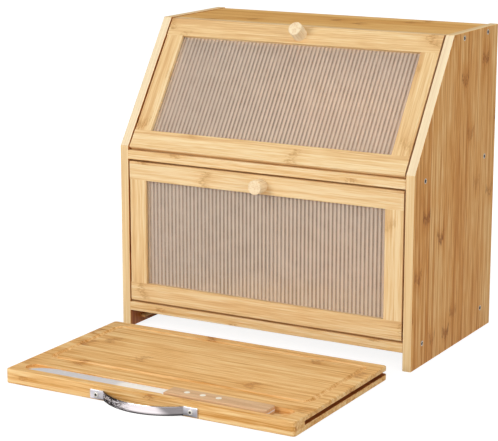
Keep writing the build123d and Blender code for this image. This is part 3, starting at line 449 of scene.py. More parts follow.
finish(top_bamboo, "top_panel")
finish(back_bamboo, "back_panel")
finish(shelf_bamboo, "middle_shelf", "bottom_shelf", "door_stops")

# ---------------------------------------------------------------------------
# Runners. Plain bamboo strips planed to 3.8 mm, glued into grooves low in the side panels.
# The board's side grooves ride on them.
# ---------------------------------------------------------------------------
runner_bamboo = laminated_bamboo(
    "planed_bamboo_strip", REARWARD, UPRIGHT, ("C08A4E", "DDAE70", "EFCB94"),
    ply=(0.18, 0.0061), seed=23, marked=0.3, gloss=0.55)
finish(runner_bamboo, "runner_left", "runner_right")

# ---------------------------------------------------------------------------
# Side screws. Six zinc-plated countersunk wood screws a side, driven flush through the
# panel into the shelves' ends; each stopped at its own turn, so no two crosses line up.
# ---------------------------------------------------------------------------
SIDE_X = 0.200
SIDE_SCREWS = [(0.1570, 0.37525), (0.2295, 0.37525), (0.0520, 0.22175), (0.2295, 0.22175),
               (0.0520, 0.02755), (0.2295, 0.02755)]
HEAD_R = 0.0034
SHANK_R = 0.00175
SCREW_LONG = 0.032
SCREW_POINT = 0.003
CROSS_ARM = 0.0022
CROSS_HALF_W = 0.0011
CROSS_RINGS = ((0.45, 0.0013), (0.86, 0.0006), (1.0, 0.00004))   # its narrowing, and how deep
CROSS_FLOOR = 0.0014                    # the shallow point at its bottom
CROSS_LIP = 0.00012                     # and its eased mouth
RIM = 0.0002                            # the eased rim of the head
POINT_R = 0.0002
SCREW_CREASE = math.radians(28)         # edges that bend by more stay sharp
SUNK = (0.00001, 0.0001)                # below the panel's face, where the cross is drawn dark
PULL_SCREW = (0.0610, 0, 0.007)         # |X| and Z of the screws in the pull's feet
PULL_CROSS = (0.0017, 0.0013)           # from their axes, where that dark begins and is full


def screw_with_cross():
    """A countersunk screw, its head level with z = 0: rings of points from the bottom of the
    driver's cross, over the head and down the shank."""
    corner = math.atan2(CROSS_HALF_W, CROSS_ARM)
    quarter = [0, corner, math.radians(24), math.radians(45), math.radians(66),
               math.radians(90) - corner]
    angles = [a + q * math.pi / 2 for q in range(4) for a in quarter]

    def cross(angle):
        near = (angle + math.pi / 4) % (math.pi / 2) - math.pi / 4
        return min(CROSS_ARM / math.cos(near), CROSS_HALF_W / max(abs(math.sin(near)), 1e-6))

    rings = [[(cross(a) * share, a, -deep) for a in angles] for share, deep in CROSS_RINGS]
    rings.append([(cross(a) + CROSS_LIP, a, 0.0) for a in angles])
    for radius, height in (
        (HEAD_R - RIM, 0.0), (HEAD_R, -RIM), (SHANK_R, SHANK_R - HEAD_R - RIM),
        (SHANK_R, SCREW_POINT - SCREW_LONG), (POINT_R, -SCREW_LONG),
    ):
        rings.append([(radius, a, height) for a in angles])
    shape = bmesh.new()
    placed = [[shape.verts.new((r * math.cos(a), r * math.sin(a), z)) for r, a, z in ring]
              for ring in rings]
    bottom = shape.verts.new((0, 0, -CROSS_FLOOR))
    tip = shape.verts.new((0, 0, -SCREW_LONG))
    n = len(angles)
    for i in range(n):
        j = (i + 1) % n
        shape.faces.new((bottom, placed[0][i], placed[0][j]))
        for inner, outer in zip(placed, placed[1:]):
            shape.faces.new((inner[i], outer[i], outer[j], inner[j]))
        shape.faces.new((tip, placed[-1][j], placed[-1][i]))
    bmesh.ops.recalc_face_normals(shape, faces=shape.faces)
    for face in shape.faces:
        face.smooth = True
    for line in shape.edges:
        line.smooth = line.calc_face_angle(0) < SCREW_CREASE
    mesh = bpy.data.meshes.new("countersunk_screw")
    shape.to_mesh(mesh)
    shape.free()
    return bpy.data.objects.new("countersunk_screw", mesh)


def empty_growth(name, made, given):
    """A node group with these named inputs, each with its kind, that makes one geometry."""
    tree = bpy.data.node_groups.new(name, "GeometryNodeTree")
    for label, kind in given.items():
        tree.interface.new_socket(name=label, in_out="INPUT", socket_type="NodeSocket" + kind)
    tree.interface.new_socket(name=made, in_out="OUTPUT", socket_type="NodeSocketGeometry")
    return tree


def grow(name, tree, settings, start=None):
    """Run a node group on a mesh and keep what it makes as a plain mesh, with no modifier."""
    seed = bpy.data.objects.new(name + "_seed", start or bpy.data.meshes.new(name))
    bpy.context.scene.collection.objects.link(seed)
    growth = seed.modifiers.new("growth", "NODES")
    growth.node_group = tree
    by_name = {item.name: item.identifier for item in tree.interface.items_tree
               if item.in_out == "INPUT"}
    for label, value in settings.items():
        growth[by_name[label]] = value
    grown = seed.evaluated_get(bpy.context.evaluated_depsgraph_get())
    made = bpy.data.objects.new(name, bpy.data.meshes.new_from_object(grown))
    bpy.data.objects.remove(seed)
    bpy.context.scene.collection.objects.link(made)
    made.data.name = name
    return made


# A pale, slightly warm grey with a soft gloss, and so little metallic that it stays pale in a
# dark room. The driver's cross is too small for its own shade to show, and is drawn dark
zinc, tree = blank_material("zinc_plated_steel")
spot = add(tree, "ShaderNodeTexCoord")
blotches = add(tree, "ShaderNodeTexNoise", {"Vector": spot.outputs["Object"], "Scale": 900.0,
                                            "Detail": 2.0})
tint = add(tree, "ShaderNodeValToRGB", {0: blotches.outputs["Fac"]},
           stops=((0.0, "DAD5CC"), (1.0, "FBF8F1")))
place = add(tree, "ShaderNodeSeparateXYZ", {0: spot.outputs["Object"]})
out = add(tree, "ShaderNodeMath", {0: place.outputs[0]}, operation="ABSOLUTE")
is_sunk = add(tree, "ShaderNodeMapRange", {"Value": out.outputs[0], "From Min": SIDE_X - SUNK[0],
                                           "From Max": SIDE_X - SUNK[1]})
on_panel = add(tree, "ShaderNodeMath", {0: out.outputs[0], 1: SIDE_X / 2},
               operation="GREATER_THAN")
dark = add(tree, "ShaderNodeMath", {0: is_sunk.outputs[0], 1: on_panel.outputs[0]},
           operation="MULTIPLY")
seen_flat = add(tree, "ShaderNodeCombineXYZ", {0: out.outputs[0], 2: place.outputs[2]})
off_axis = add(tree, "ShaderNodeVectorMath", {0: seen_flat.outputs[0], 1: PULL_SCREW},
               operation="DISTANCE")
in_cross = add(tree, "ShaderNodeMapRange", {"Value": off_axis.outputs["Value"],
                                            "From Min": PULL_CROSS[0],
                                            "From Max": PULL_CROSS[1]})
dark = add(tree, "ShaderNodeMath", {0: dark.outputs[0], 1: in_cross.outputs[0]},
           operation="MAXIMUM")
crossed = add(tree, "ShaderNodeMix", {0: dark.outputs[0], 6: tint.outputs[0],
                                      7: linear("2E2218")}, data_type="RGBA")
metal = add(tree, "ShaderNodeMapRange", {"Value": dark.outputs[0], "To Min": 0.15, "To Max": 0.0})
rough = add(tree, "ShaderNodeMapRange", {"Value": blotches.outputs["Fac"], "To Min": 0.25,
                                         "To Max": 0.45})
surface = add(tree, "ShaderNodeBsdfPrincipled", {
    "Base Color": crossed.outputs[2], "Metallic": metal.outputs[0], "Roughness": rough.outputs[0]})
add(tree, "ShaderNodeOutputMaterial", {"Surface": surface.outputs[0]})

# Each point becomes a screw that points outwards and has been turned by chance
tree = empty_growth("screws_driven_in", "Screws", {
    "Places": "Geometry", "Screw": "Object", "Outward": "Vector", "Seed": "Int",
    "Metal": "Material"})
given = add(tree, "NodeGroupInput")
one = add(tree, "GeometryNodeObjectInfo", {"Object": given.outputs["Screw"]})
stopped = add(tree, "FunctionNodeRandomValue", {"Min": 0.0, "Max": math.pi / 2,
                                                "Seed": given.outputs["Seed"]}, data_type="FLOAT")
spun = add(tree, "FunctionNodeAxisAngleToRotation", {"Axis": (0, 0, 1),
                                                     "Angle": stopped.outputs[1]})
pointed = add(tree, "FunctionNodeAlignRotationToVector", {"Vector": given.outputs["Outward"]},
              axis="Z")
turned = add(tree, "FunctionNodeRotateRotation", {"Rotation": pointed.outputs[0],
                                                  "Rotate By": spun.outputs[0]},
             rotation_space="LOCAL")
driven = add(tree, "GeometryNodeInstanceOnPoints", {
    "Points": given.outputs["Places"], "Instance": one.outputs["Geometry"],
    "Rotation": turned.outputs[0]})
real = add(tree, "GeometryNodeRealizeInstances", {"Geometry": driven.outputs[0]})
plated = add(tree, "GeometryNodeSetMaterial", {"Geometry": real.outputs[0],
                                               "Material": given.outputs["Metal"]})
add(tree, "NodeGroupOutput", {"Screws": plated.outputs[0]})
screws_driven_in = tree

screw = screw_with_cross()
for side, end in ((-1, "left"), (1, "right")):
    places = bpy.data.meshes.new("screw_places")
    places.from_pydata([(side * SIDE_X, y, z) for y, z in SIDE_SCREWS], [], [])
    row = grow("panel_screws_" + end, screws_driven_in, {
        "Screw": screw, "Outward": (side, 0, 0), "Seed": 5 + side, "Metal": zinc}, places)
    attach(row, "cabinet")
    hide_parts("side_screws_" + end)
bpy.data.objects.remove(screw)
finish(zinc, "pull_screws", "upper_knob_screw", "lower_knob_screw")

# ---------------------------------------------------------------------------
# Door frames. Solid bamboo rails and stiles, 12 mm thick: rails across the full width,
# stiles between them along the door's height, the same satin lacquer, a paler pick of strips.
# ---------------------------------------------------------------------------
FRAME_SHADES = ("DDB078", "ECC78F", "F5DAAB")
FRAME_PLY = 0.0061
RAIL_STRIP = 0.0245
STILE_STRIP = 0.026

for door, up, front_ply, rail_seed, stile_seed in (
    ("lower", UPRIGHT, 0.0219, 31, 37),
    ("upper", UP_SLOPE, 0.1099, 43, 47),
):
    rail_bamboo = laminated_bamboo(
        "lacquered_bamboo_" + door + "_rails", SIDEWAYS, up, FRAME_SHADES,
        ply=(front_ply, FRAME_PLY), seed=rail_seed, mark="B47C38", marked=0.6, strip=RAIL_STRIP)
    stile_bamboo = laminated_bamboo(
        "lacquered_bamboo_" + door + "_stiles", up, SIDEWAYS, FRAME_SHADES,
        ply=(front_ply, FRAME_PLY), seed=stile_seed, mark="B47C38", marked=0.6, strip=STILE_STRIP)
    finish(rail_bamboo, door + "_foot_rail", door + "_head_rail")
    finish(stile_bamboo, door + "_left_stile", door + "_right_stile")

# ---------------------------------------------------------------------------
# Hinge pins and magnets. Drawn steel pins on which the doors turn, and nickel-plated disc
# magnets glued in flush, which hold them shut.
# ---------------------------------------------------------------------------
def worked_metal(name, marks_per_metre, detail, shades, metallic, roughness):
    """A metal with the fine marks of how it was worked, so many in a metre along each axis."""
    made, tree = blank_material(name)
    spot = add(tree, "ShaderNodeTexCoord")
    worked = add(tree, "ShaderNodeVectorMath", {0: spot.outputs["Object"], 1: marks_per_metre},
                 operation="MULTIPLY")
    marks = add(tree, "ShaderNodeTexNoise", {"Vector": worked.outputs[0], "Scale": 1.0,
                                             "Detail": detail})
    tint = add(tree, "ShaderNodeValToRGB", {0: marks.outputs["Fac"]},
               stops=zip((0.0, 1.0), shades))
    rough = add(tree, "ShaderNodeMapRange", {"Value": marks.outputs["Fac"],
                                             "To Min": roughness[0], "To Max": roughness[1]})
    surface = add(tree, "ShaderNodeBsdfPrincipled", {
        "Base Color": tint.outputs[0], "Metallic": metallic, "Roughness": rough.outputs[0]})
    add(tree, "ShaderNodeOutputMaterial", {"Surface": surface.outputs[0]})
    return made


# Dull bright grey with faint lines along the pin
drawn_steel = worked_metal("drawn_steel", (60, 2500, 2500), 2.0, ("B3B1AC", "E4E2DC"), 1.0,
                           (0.25, 0.45))
finish(drawn_steel, "upper_hinge_pins", "lower_hinge_pins")

# Warm grey mirror, finely pitted
plated_magnet = worked_metal("nickel_plated_magnet", (1400, 1400, 1400), 3.0,
                             ("9C9890", "CFCBC2"), 1.0, (0.15, 0.32))
finish(plated_magnet, "catch_magnets", "upper_magnets", "lower_magnets")

# ---------------------------------------------------------------------------
# Panes. Extruded clear acrylic sheet, 3 mm over its round reeds, flat behind, held in the
# frames' grooves. The reeds break up what is behind into upright lines.
# ---------------------------------------------------------------------------
PANE_W = 0.338
PANE_T = 0.003
REED_COUNT = 64
REED_H = 0.0008
REED_STEPS = 10
REED_PAINTED_LIGHT_SHIFT = 0.25                       # of a reed, by which its painted light side is off its crown
HAZE_TONE = 0.3
WELD = 0.00001
REED_START = 1e-4                       # so that each reed's first edge counts to that reed
REED_CREASE = math.radians(25)
PANES = {                               # foot of the front face, lean and height
    "lower": ((0, 0.0262, 0.0533), math.radians(90), 0.1432),
    "upper": ((0, 0.03588, 0.24450), math.radians(90) - LEAN, 0.1452),
}

# Clear and glossy, with painted light and shade on each reed: a light side and a brownish grey
# shaded side
reeded_acrylic, tree = blank_material("reeded_clear_acrylic")
spot = add(tree, "ShaderNodeTexCoord")
haze = add(tree, "ShaderNodeTexNoise", {"Vector": spot.outputs["Object"], "Scale": 60.0,
                                        "Detail": 2.0})
place = add(tree, "ShaderNodeSeparateXYZ", {0: spot.outputs["Object"]})
reed = add(tree, "ShaderNodeMath", {0: place.outputs[0], 1: REED_COUNT / PANE_W,
                                    2: REED_COUNT / 2 + REED_PAINTED_LIGHT_SHIFT},
           operation="MULTIPLY_ADD")
# Painted light and shade across each reed, from its place along the pane
painted_reed_light_and_shade = add(tree, "ShaderNodeMath", {0: reed.outputs[0], 1: 0.5}, operation="PINGPONG")
tone = add(tree, "ShaderNodeMath", {0: haze.outputs["Fac"], 1: HAZE_TONE,
                                    2: -HAZE_TONE / 2}, operation="MULTIPLY_ADD")
tone = add(tree, "ShaderNodeMath", {0: painted_reed_light_and_shade.outputs[0], 1: 2.0, 2: tone.outputs[0]},
           operation="MULTIPLY_ADD")
tint = add(tree, "ShaderNodeValToRGB", {0: tone.outputs[0]},
           stops=((0.05, "B4A595"), (0.60, "FFF2E2")))
rough = add(tree, "ShaderNodeMapRange", {"Value": haze.outputs["Fac"], "To Min": 0.02,
                                         "To Max": 0.05})
surface = add(tree, "ShaderNodeBsdfPrincipled", {
    "Base Color": tint.outputs[0], "Roughness": rough.outputs[0], "IOR": 1.49,
    "Transmission Weight": 0.66})
clear = add(tree, "ShaderNodeBsdfTransparent", {"Color": linear("F7F6F3")})
path = add(tree, "ShaderNodeLightPath")
shadow_through = add(tree, "ShaderNodeMixShader", {
    0: path.outputs["Is Shadow Ray"], 1: surface.outputs[0], 2: clear.outputs[0]})
add(tree, "ShaderNodeOutputMaterial", {"Surface": shadow_through.outputs[0]})


def creased(tree, shape, angle):
    """Shade a shape smooth, but for the edges that bend by more than this angle."""
    bent = add(tree, "GeometryNodeInputMeshEdgeAngle")
    blunt = add(tree, "FunctionNodeCompare", {0: bent.outputs[0], 1: angle}, operation="LESS_THAN")
    round_faces = add(tree, "GeometryNodeSetShadeSmooth", {
        "Geometry": shape, "Shade Smooth": True}, domain="FACE")
    return add(tree, "GeometryNodeSetShadeSmooth", {
        "Geometry": round_faces.outputs[0], "Shade Smooth": blunt.outputs[0]}, domain="EDGE")


# A sheet lying flat: its face is raised into reeds, then it is stood up in its door
tree = empty_growth("reeded_sheet", "Pane", {
    "Width": "Float", "Height": "Float", "Thickness": "Float", "Reeds": "Int",
    "Reed height": "Float", "Steps per reed": "Int", "Foot": "Vector", "Lean": "Vector",
    "Acrylic": "Material"})
given = add(tree, "NodeGroupInput")
columns = add(tree, "ShaderNodeMath", {0: given.outputs["Reeds"],
                                       1: given.outputs["Steps per reed"], 2: 1.0},
              operation="MULTIPLY_ADD")
flat = add(tree, "GeometryNodeMeshGrid", {
    "Size X": given.outputs["Width"], "Size Y": given.outputs["Height"],
    "Vertices X": columns.outputs[0], "Vertices Y": 2})
deep = add(tree, "ShaderNodeMath", {0: given.outputs["Thickness"],
                                    1: given.outputs["Reed height"]}, operation="SUBTRACT")
raised = add(tree, "GeometryNodeExtrudeMesh", {
    "Mesh": flat.outputs["Mesh"], "Offset Scale": deep.outputs[0], "Individual": False},
    mode="FACES")
under = add(tree, "GeometryNodeFlipFaces", {"Mesh": flat.outputs["Mesh"]})
shell = add(tree, "GeometryNodeJoinGeometry")
tree.links.new(under.outputs[0], shell.inputs[0])
tree.links.new(raised.outputs["Mesh"], shell.inputs[0])
closed = add(tree, "GeometryNodeMergeByDistance", {"Geometry": shell.outputs[0],
                                                   "Distance": WELD})
here = add(tree, "GeometryNodeInputPosition")
parts = add(tree, "ShaderNodeSeparateXYZ", {0: here.outputs[0]})
share = add(tree, "ShaderNodeMath", {0: parts.outputs[0], 1: given.outputs["Width"]},
            operation="DIVIDE")
share = add(tree, "ShaderNodeMath", {0: share.outputs[0], 1: 0.5}, operation="ADD")
turns = add(tree, "ShaderNodeMath", {0: share.outputs[0], 1: given.outputs["Reeds"]},
            operation="MULTIPLY")
phase = add(tree, "ShaderNodeMath", {0: turns.outputs[0], 1: REED_START}, operation="ADD")
phase = add(tree, "ShaderNodeMath", {0: phase.outputs[0]}, operation="FRACT")
off = add(tree, "ShaderNodeMath", {0: phase.outputs[0], 1: 2.0, 2: -1.0},
          operation="MULTIPLY_ADD")
square = add(tree, "ShaderNodeMath", {0: off.outputs[0], 1: off.outputs[0]}, operation="MULTIPLY")
swell = add(tree, "ShaderNodeMath", {0: 1.0, 1: square.outputs[0]}, operation="SUBTRACT")
swell = add(tree, "ShaderNodeMath", {0: swell.outputs[0], 1: given.outputs["Reed height"]},
            operation="MULTIPLY")
lift = add(tree, "ShaderNodeCombineXYZ", {2: swell.outputs[0]})
half_deep = add(tree, "ShaderNodeMath", {0: deep.outputs[0], 1: 0.5}, operation="MULTIPLY")
upper = add(tree, "FunctionNodeCompare", {0: parts.outputs[2], 1: half_deep.outputs[0]},
            operation="GREATER_THAN")
reeded = add(tree, "GeometryNodeSetPosition", {
    "Geometry": closed.outputs[0], "Selection": upper.outputs[0], "Offset": lift.outputs[0]})
smooth = creased(tree, reeded.outputs[0], REED_CREASE)
half_up = add(tree, "ShaderNodeMath", {0: given.outputs["Height"], 1: 0.5}, operation="MULTIPLY")
sunk = add(tree, "ShaderNodeMath", {0: given.outputs["Thickness"], 1: -1.0}, operation="MULTIPLY")
footing = add(tree, "ShaderNodeCombineXYZ", {1: half_up.outputs[0], 2: sunk.outputs[0]})
footed = add(tree, "GeometryNodeTransform", {"Geometry": smooth.outputs[0],
                                             "Translation": footing.outputs[0]})
stood = add(tree, "GeometryNodeTransform", {
    "Geometry": footed.outputs[0], "Translation": given.outputs["Foot"],
    "Rotation": given.outputs["Lean"]})
real = add(tree, "GeometryNodeRealizeInstances", {"Geometry": stood.outputs[0]})
cast = add(tree, "GeometryNodeSetMaterial", {"Geometry": real.outputs[0],
                                             "Material": given.outputs["Acrylic"]})
add(tree, "NodeGroupOutput", {"Pane": cast.outputs[0]})

for end, (foot, lean, height) in PANES.items():
    pane = grow("reeded_pane_" + end, tree, {
        "Width": PANE_W, "Height": height, "Thickness": PANE_T,
        "Reeds": REED_COUNT, "Reed height": REED_H,
        "Steps per reed": REED_STEPS, "Foot": foot, "Lean": (lean, 0, 0),
        "Acrylic": reeded_acrylic})
    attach(pane, end + "_door")
    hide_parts(end + "_pane")

# ---------------------------------------------------------------------------
# Knobs. Turned from a bamboo block with the grain pointing out of the door: pale end grain
# with dots of cut fibre in front, fine lines along the barrel. Lacquered like the frames.
# ---------------------------------------------------------------------------
KNOB_DOTS = (30, 900, 900)              # noise per metre: fibres 1.1 mm apart, end on
DOT_EDGE = (0.15, 0.45)                 # of a fibre's share of the face, dark within the first
DOT_TONE = 0.45
KNOB_RINGS = (40, 1, 1)                 # lines round the barrel, too fine to tell apart


def turned_knob(name, out):
    """Bamboo turned with its grain along out: pale and speckled, with a soft shine."""
    made, tree = blank_material(name)
    spot = add(tree, "ShaderNodeTexCoord")
    turn = Matrix((out, SIDEWAYS, out.cross(SIDEWAYS))).to_euler()
    laid = add(tree, "ShaderNodeMapping", {"Vector": spot.outputs["Object"], "Rotation": turn})
    cut = add(tree, "ShaderNodeVectorMath", {0: laid.outputs[0], 1: KNOB_RINGS},
              operation="MULTIPLY")
    fine = add(tree, "ShaderNodeVectorMath", {0: laid.outputs[0], 1: KNOB_DOTS},
               operation="MULTIPLY")
    dots = add(tree, "ShaderNodeTexVoronoi", {"Vector": fine.outputs[0], "Scale": 1.0})
    dot = add(tree, "ShaderNodeMapRange", {
        "Value": dots.outputs["Distance"], "From Min": DOT_EDGE[0], "From Max": DOT_EDGE[1]})
    bands = add(tree, "ShaderNodeTexNoise", {"Vector": cut.outputs[0], "Scale": 160.0,
                                             "Detail": 2.0})
    tone = add(tree, "ShaderNodeMath", {0: dot.outputs[0], 1: DOT_TONE, 2: bands.outputs["Fac"]},
               operation="MULTIPLY_ADD")
    ramp = add(tree, "ShaderNodeValToRGB", {0: tone.outputs[0]},
               stops=((0.3, "D9AC72"), (1.0, "FBE7C2")))
    rough = add(tree, "ShaderNodeMapRange", {"Value": dot.outputs[0], "To Min": 0.52,
                                             "To Max": 0.40})
    bump = add(tree, "ShaderNodeBump", {"Height": dot.outputs[0], "Strength": 0.15,
                                        "Distance": 0.0002})
    surface = add(tree, "ShaderNodeBsdfPrincipled", {
        "Base Color": ramp.outputs[0], "Roughness": rough.outputs[0], "Normal": bump.outputs[0],
        "IOR": 1.45, "Specular IOR Level": 0.3})
    add(tree, "ShaderNodeOutputMaterial", {"Surface": surface.outputs[0]})
    return made


finish(turned_knob("turned_bamboo_lower_knob", -REARWARD), "lower_knob")
finish(turned_knob("turned_bamboo_upper_knob", Vector((0, -math.cos(LEAN), math.sin(LEAN)))),
       "upper_knob")

# ---------------------------------------------------------------------------
# Cutting board. Three layers of bamboo strips pressed to 17 mm, milled with a juice groove
# and a pocket for the knife, sanded and rubbed with oil, so it is a tone warmer and duller
# than the lacquered box.
# ---------------------------------------------------------------------------
SIDE_GROOVE_X = (0.1793, 0.187)         # floor and mouth
SIDE_GROOVE_Z = (0.0069, 0.0117)
SIDE_GROOVE_FROM_Y = -0.2375

board_bamboo = laminated_bamboo(
    "oiled_bamboo_board", SIDEWAYS, REARWARD, ("D09448", "EBB976", "F8D59A"),
    ply=(-0.0001, 0.00573), seed=53, mark="A5642A", marked=0.8, gloss=0.5, strip=0.023,
    slots=(*SIDE_GROOVE_X, *SIDE_GROOVE_Z, SIDE_GROOVE_FROM_Y))
finish(board_bamboo, "cutting_board")

# ---------------------------------------------------------------------------
# Pull. A strip of brass 10.5 x 1.8 mm, its faces slightly crowned and its edges broken, bent
# into a bow between two flat feet and bright nickel plated. Two screws go through the feet.
# ---------------------------------------------------------------------------
BOARD_FRONT_Y = -0.240
PULL_Z = 0.007
PULL_H = 0.0105
PULL_T = 0.0018
FOOT_END_X = 0.0694
BEND_X = 0.0523
PULL_REACH = 0.02198
PULL_CROWN = 0.9                        # a quarter of this share thinner at its edges
EDGE_R = 0.0005
PULL_CREASE = math.radians(35)
BOW_STEPS = 48
BEND_EASE = 0.0012                      # the strip turns from foot to bow over this much
FOOT_STEP = 0.008
FOOT_FROM_X = 0.0518
FOOT_ROUGH = 0.42                       # the feet are duller,
FOOT_WAVES = 0.02                       # and flat
POLISH = (45, 45, 620)                  # noise per metre: lines 1.6 mm apart round the bow
RIPPLED_X = (-0.026, -0.002)            # the left of the bow is uneven before the first of
RIPPLES = 0.95                          # these, and even after the second
RIPPLE_H = 0.0008
DARK_BANDS = (50, 50, 330)              # painted dark reflections, 20 mm long and 3 mm wide

# A near mirror, hardly warm. The wavy dark bands over the uneven left of the bow are drawn on
# it, in place of the dark things that it would mirror there
nickel, tree = blank_material("bright_nickel_plate")
spot = add(tree, "ShaderNodeTexCoord")
polished = add(tree, "ShaderNodeVectorMath", {0: spot.outputs["Object"], 1: POLISH},
               operation="MULTIPLY")
ripple = add(tree, "ShaderNodeTexNoise", {"Vector": polished.outputs[0], "Scale": 1.0,
                                          "Detail": 2.0, "Distortion": 1.2})
tint = add(tree, "ShaderNodeValToRGB", {0: ripple.outputs["Fac"]},
           stops=((0.0, "E2DCDF"), (1.0, "FBF8FA")))
rough = add(tree, "ShaderNodeMapRange", {"Value": ripple.outputs["Fac"], "To Min": 0.03,
                                         "To Max": 0.07})
place = add(tree, "ShaderNodeSeparateXYZ", {0: spot.outputs["Object"]})
uneven = add(tree, "ShaderNodeMapRange", {"Value": place.outputs[0], "From Min": RIPPLED_X[0],
                                          "From Max": RIPPLED_X[1], "To Min": RIPPLES,
                                          "To Max": 0.0})
# Painted reflection: wavy dark bands over the uneven left of the bow
reflection_band_coords = add(tree, "ShaderNodeVectorMath", {0: spot.outputs["Object"], 1: DARK_BANDS},
             operation="MULTIPLY")
bands = add(tree, "ShaderNodeTexNoise", {"Vector": reflection_band_coords.outputs[0], "Scale": 1.0,
                                         "Detail": 1.0, "Distortion": 2.2})
bands = add(tree, "ShaderNodeMapRange", {"Value": bands.outputs["Fac"], "From Min": 0.46,
                                         "From Max": 0.50})
bands = add(tree, "ShaderNodeMath", {0: bands.outputs[0], 1: uneven.outputs[0]},
            operation="MULTIPLY")
tint = add(tree, "ShaderNodeMix", {0: bands.outputs[0], 6: tint.outputs[0],
                                   7: linear("3A2E26")}, data_type="RGBA")
sideways = add(tree, "ShaderNodeMath", {0: place.outputs[0]}, operation="ABSOLUTE")
foot = add(tree, "ShaderNodeMath", {0: sideways.outputs[0], 1: FOOT_FROM_X},
           operation="GREATER_THAN")
uneven = add(tree, "ShaderNodeMix", {0: foot.outputs[0], 2: uneven.outputs[0], 3: FOOT_WAVES})
rough = add(tree, "ShaderNodeMix", {0: foot.outputs[0], 2: rough.outputs[0], 3: FOOT_ROUGH})
tint = add(tree, "ShaderNodeMix", {0: foot.outputs[0], 6: tint.outputs[2],
                                   7: linear("E6E4EA")}, data_type="RGBA")
waves = add(tree, "ShaderNodeBump", {"Height": ripple.outputs["Fac"],
                                     "Strength": uneven.outputs[0], "Distance": RIPPLE_H})
surface = add(tree, "ShaderNodeBsdfPrincipled", {
    "Base Color": tint.outputs[2], "Metallic": 1.0, "Roughness": rough.outputs[0],
    "Normal": waves.outputs[0]})
add(tree, "ShaderNodeOutputMaterial", {"Surface": surface.outputs[0]})

# A rounded rectangle, thinned towards its edges so that its faces are crowned, is swept
# along the strip's centre line
tree = empty_growth("bent_strip", "Strip", {
    "Line": "Geometry", "Strip width": "Float", "Strip thickness": "Float", "Crown": "Float",
    "Edge radius": "Float", "Metal": "Material"})
given = add(tree, "NodeGroupInput")
line = add(tree, "GeometryNodeMeshToCurve", {"Mesh": given.outputs["Line"]})
flat_normals = add(tree, "GeometryNodeSetCurveNormal", {"Curve": line.outputs[0]}, mode="Z_UP")
section = add(tree, "GeometryNodeCurvePrimitiveQuadrilateral", {
    "Width": given.outputs["Strip thickness"], "Height": given.outputs["Strip width"]})
eased = add(tree, "GeometryNodeFilletCurve", {
    "Curve": section.outputs[0], "Radius": given.outputs["Edge radius"], "Count": 3},
    mode="POLY")
evened = add(tree, "GeometryNodeResampleCurve", {"Curve": eased.outputs[0], "Count": 64})
here = add(tree, "GeometryNodeInputPosition")
over = add(tree, "ShaderNodeSeparateXYZ", {0: here.outputs[0]})
up = add(tree, "ShaderNodeMath", {0: over.outputs[1], 1: given.outputs["Strip width"]},
         operation="DIVIDE")
up = add(tree, "ShaderNodeMath", {0: up.outputs[0], 1: up.outputs[0]}, operation="MULTIPLY")
thinner = add(tree, "ShaderNodeMath", {0: up.outputs[0], 1: given.outputs["Crown"]},
              operation="MULTIPLY")
thinner = add(tree, "ShaderNodeMath", {0: 1.0, 1: thinner.outputs[0]}, operation="SUBTRACT")
domed = add(tree, "ShaderNodeMath", {0: over.outputs[0], 1: thinner.outputs[0]},
            operation="MULTIPLY")
domed = add(tree, "ShaderNodeCombineXYZ", {0: domed.outputs[0], 1: over.outputs[1]})
crowned = add(tree, "GeometryNodeSetPosition", {"Geometry": evened.outputs[0],
                                                "Position": domed.outputs[0]})
swept = add(tree, "GeometryNodeCurveToMesh", {
    "Curve": flat_normals.outputs[0], "Profile Curve": crowned.outputs[0], "Fill Caps": True})
smooth = creased(tree, swept.outputs[0], PULL_CREASE)
real = add(tree, "GeometryNodeRealizeInstances", {"Geometry": smooth.outputs[0]})
plated = add(tree, "GeometryNodeSetMaterial", {"Geometry": real.outputs[0],
                                               "Material": given.outputs["Metal"]})
add(tree, "NodeGroupOutput", {"Strip": plated.outputs[0]})

rise = PULL_REACH - PULL_T
bow_r = (BEND_X ** 2 + rise ** 2) / (2 * rise)
bow_half = math.asin(BEND_X / bow_r)
centre_y = BOARD_FRONT_Y - PULL_REACH + bow_r
mid_y = BOARD_FRONT_Y - PULL_T / 2
bow = []
for i in range(BOW_STEPS + 1):
    angle = -bow_half + 2 * bow_half * i / BOW_STEPS
    bow.append(((bow_r - PULL_T / 2) * math.sin(angle),
                centre_y - (bow_r - PULL_T / 2) * math.cos(angle)))
bow = [p for p in bow if p[1] < mid_y]
left_foot = [-FOOT_END_X, -FOOT_END_X + FOOT_STEP, bow[0][0] - BEND_EASE]
right_foot = [bow[-1][0] + BEND_EASE, FOOT_END_X - FOOT_STEP, FOOT_END_X]
points = [(x, mid_y) for x in left_foot] + bow + [(x, mid_y) for x in right_foot]
centre_line = bpy.data.meshes.new("pull_line")
centre_line.from_pydata([(x, y, PULL_Z) for x, y in points],
                        [(i, i + 1) for i in range(len(points) - 1)], [])
pull = grow("bow_pull", tree, {
    "Strip width": PULL_H, "Strip thickness": PULL_T, "Crown": PULL_CROWN,
    "Edge radius": EDGE_R, "Metal": nickel}, centre_line)
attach(pull, "cutting_board")
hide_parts("pull_handle")

# ---------------------------------------------------------------------------
# Knife blade. Stainless strip with a full tang, ground from the spine to a scalloped edge:
# fine lines across the blade from the grinding belt, bright where they catch the light.
# ---------------------------------------------------------------------------
HEEL_HIGHLIGHT_X = (-0.049, -0.041)               # where the painted highlight at the heel begins and is full
TANG_END_X = 0.035                      # and where it ends
HEEL_HIGHLIGHT_METAL = 0.08
BLADE_METAL = 0.35                      # low, so that the blade stays white in a dark room
GRIND_LINES = (2600, 90, 90)            # noise per metre: lines 0.4 mm apart across the blade

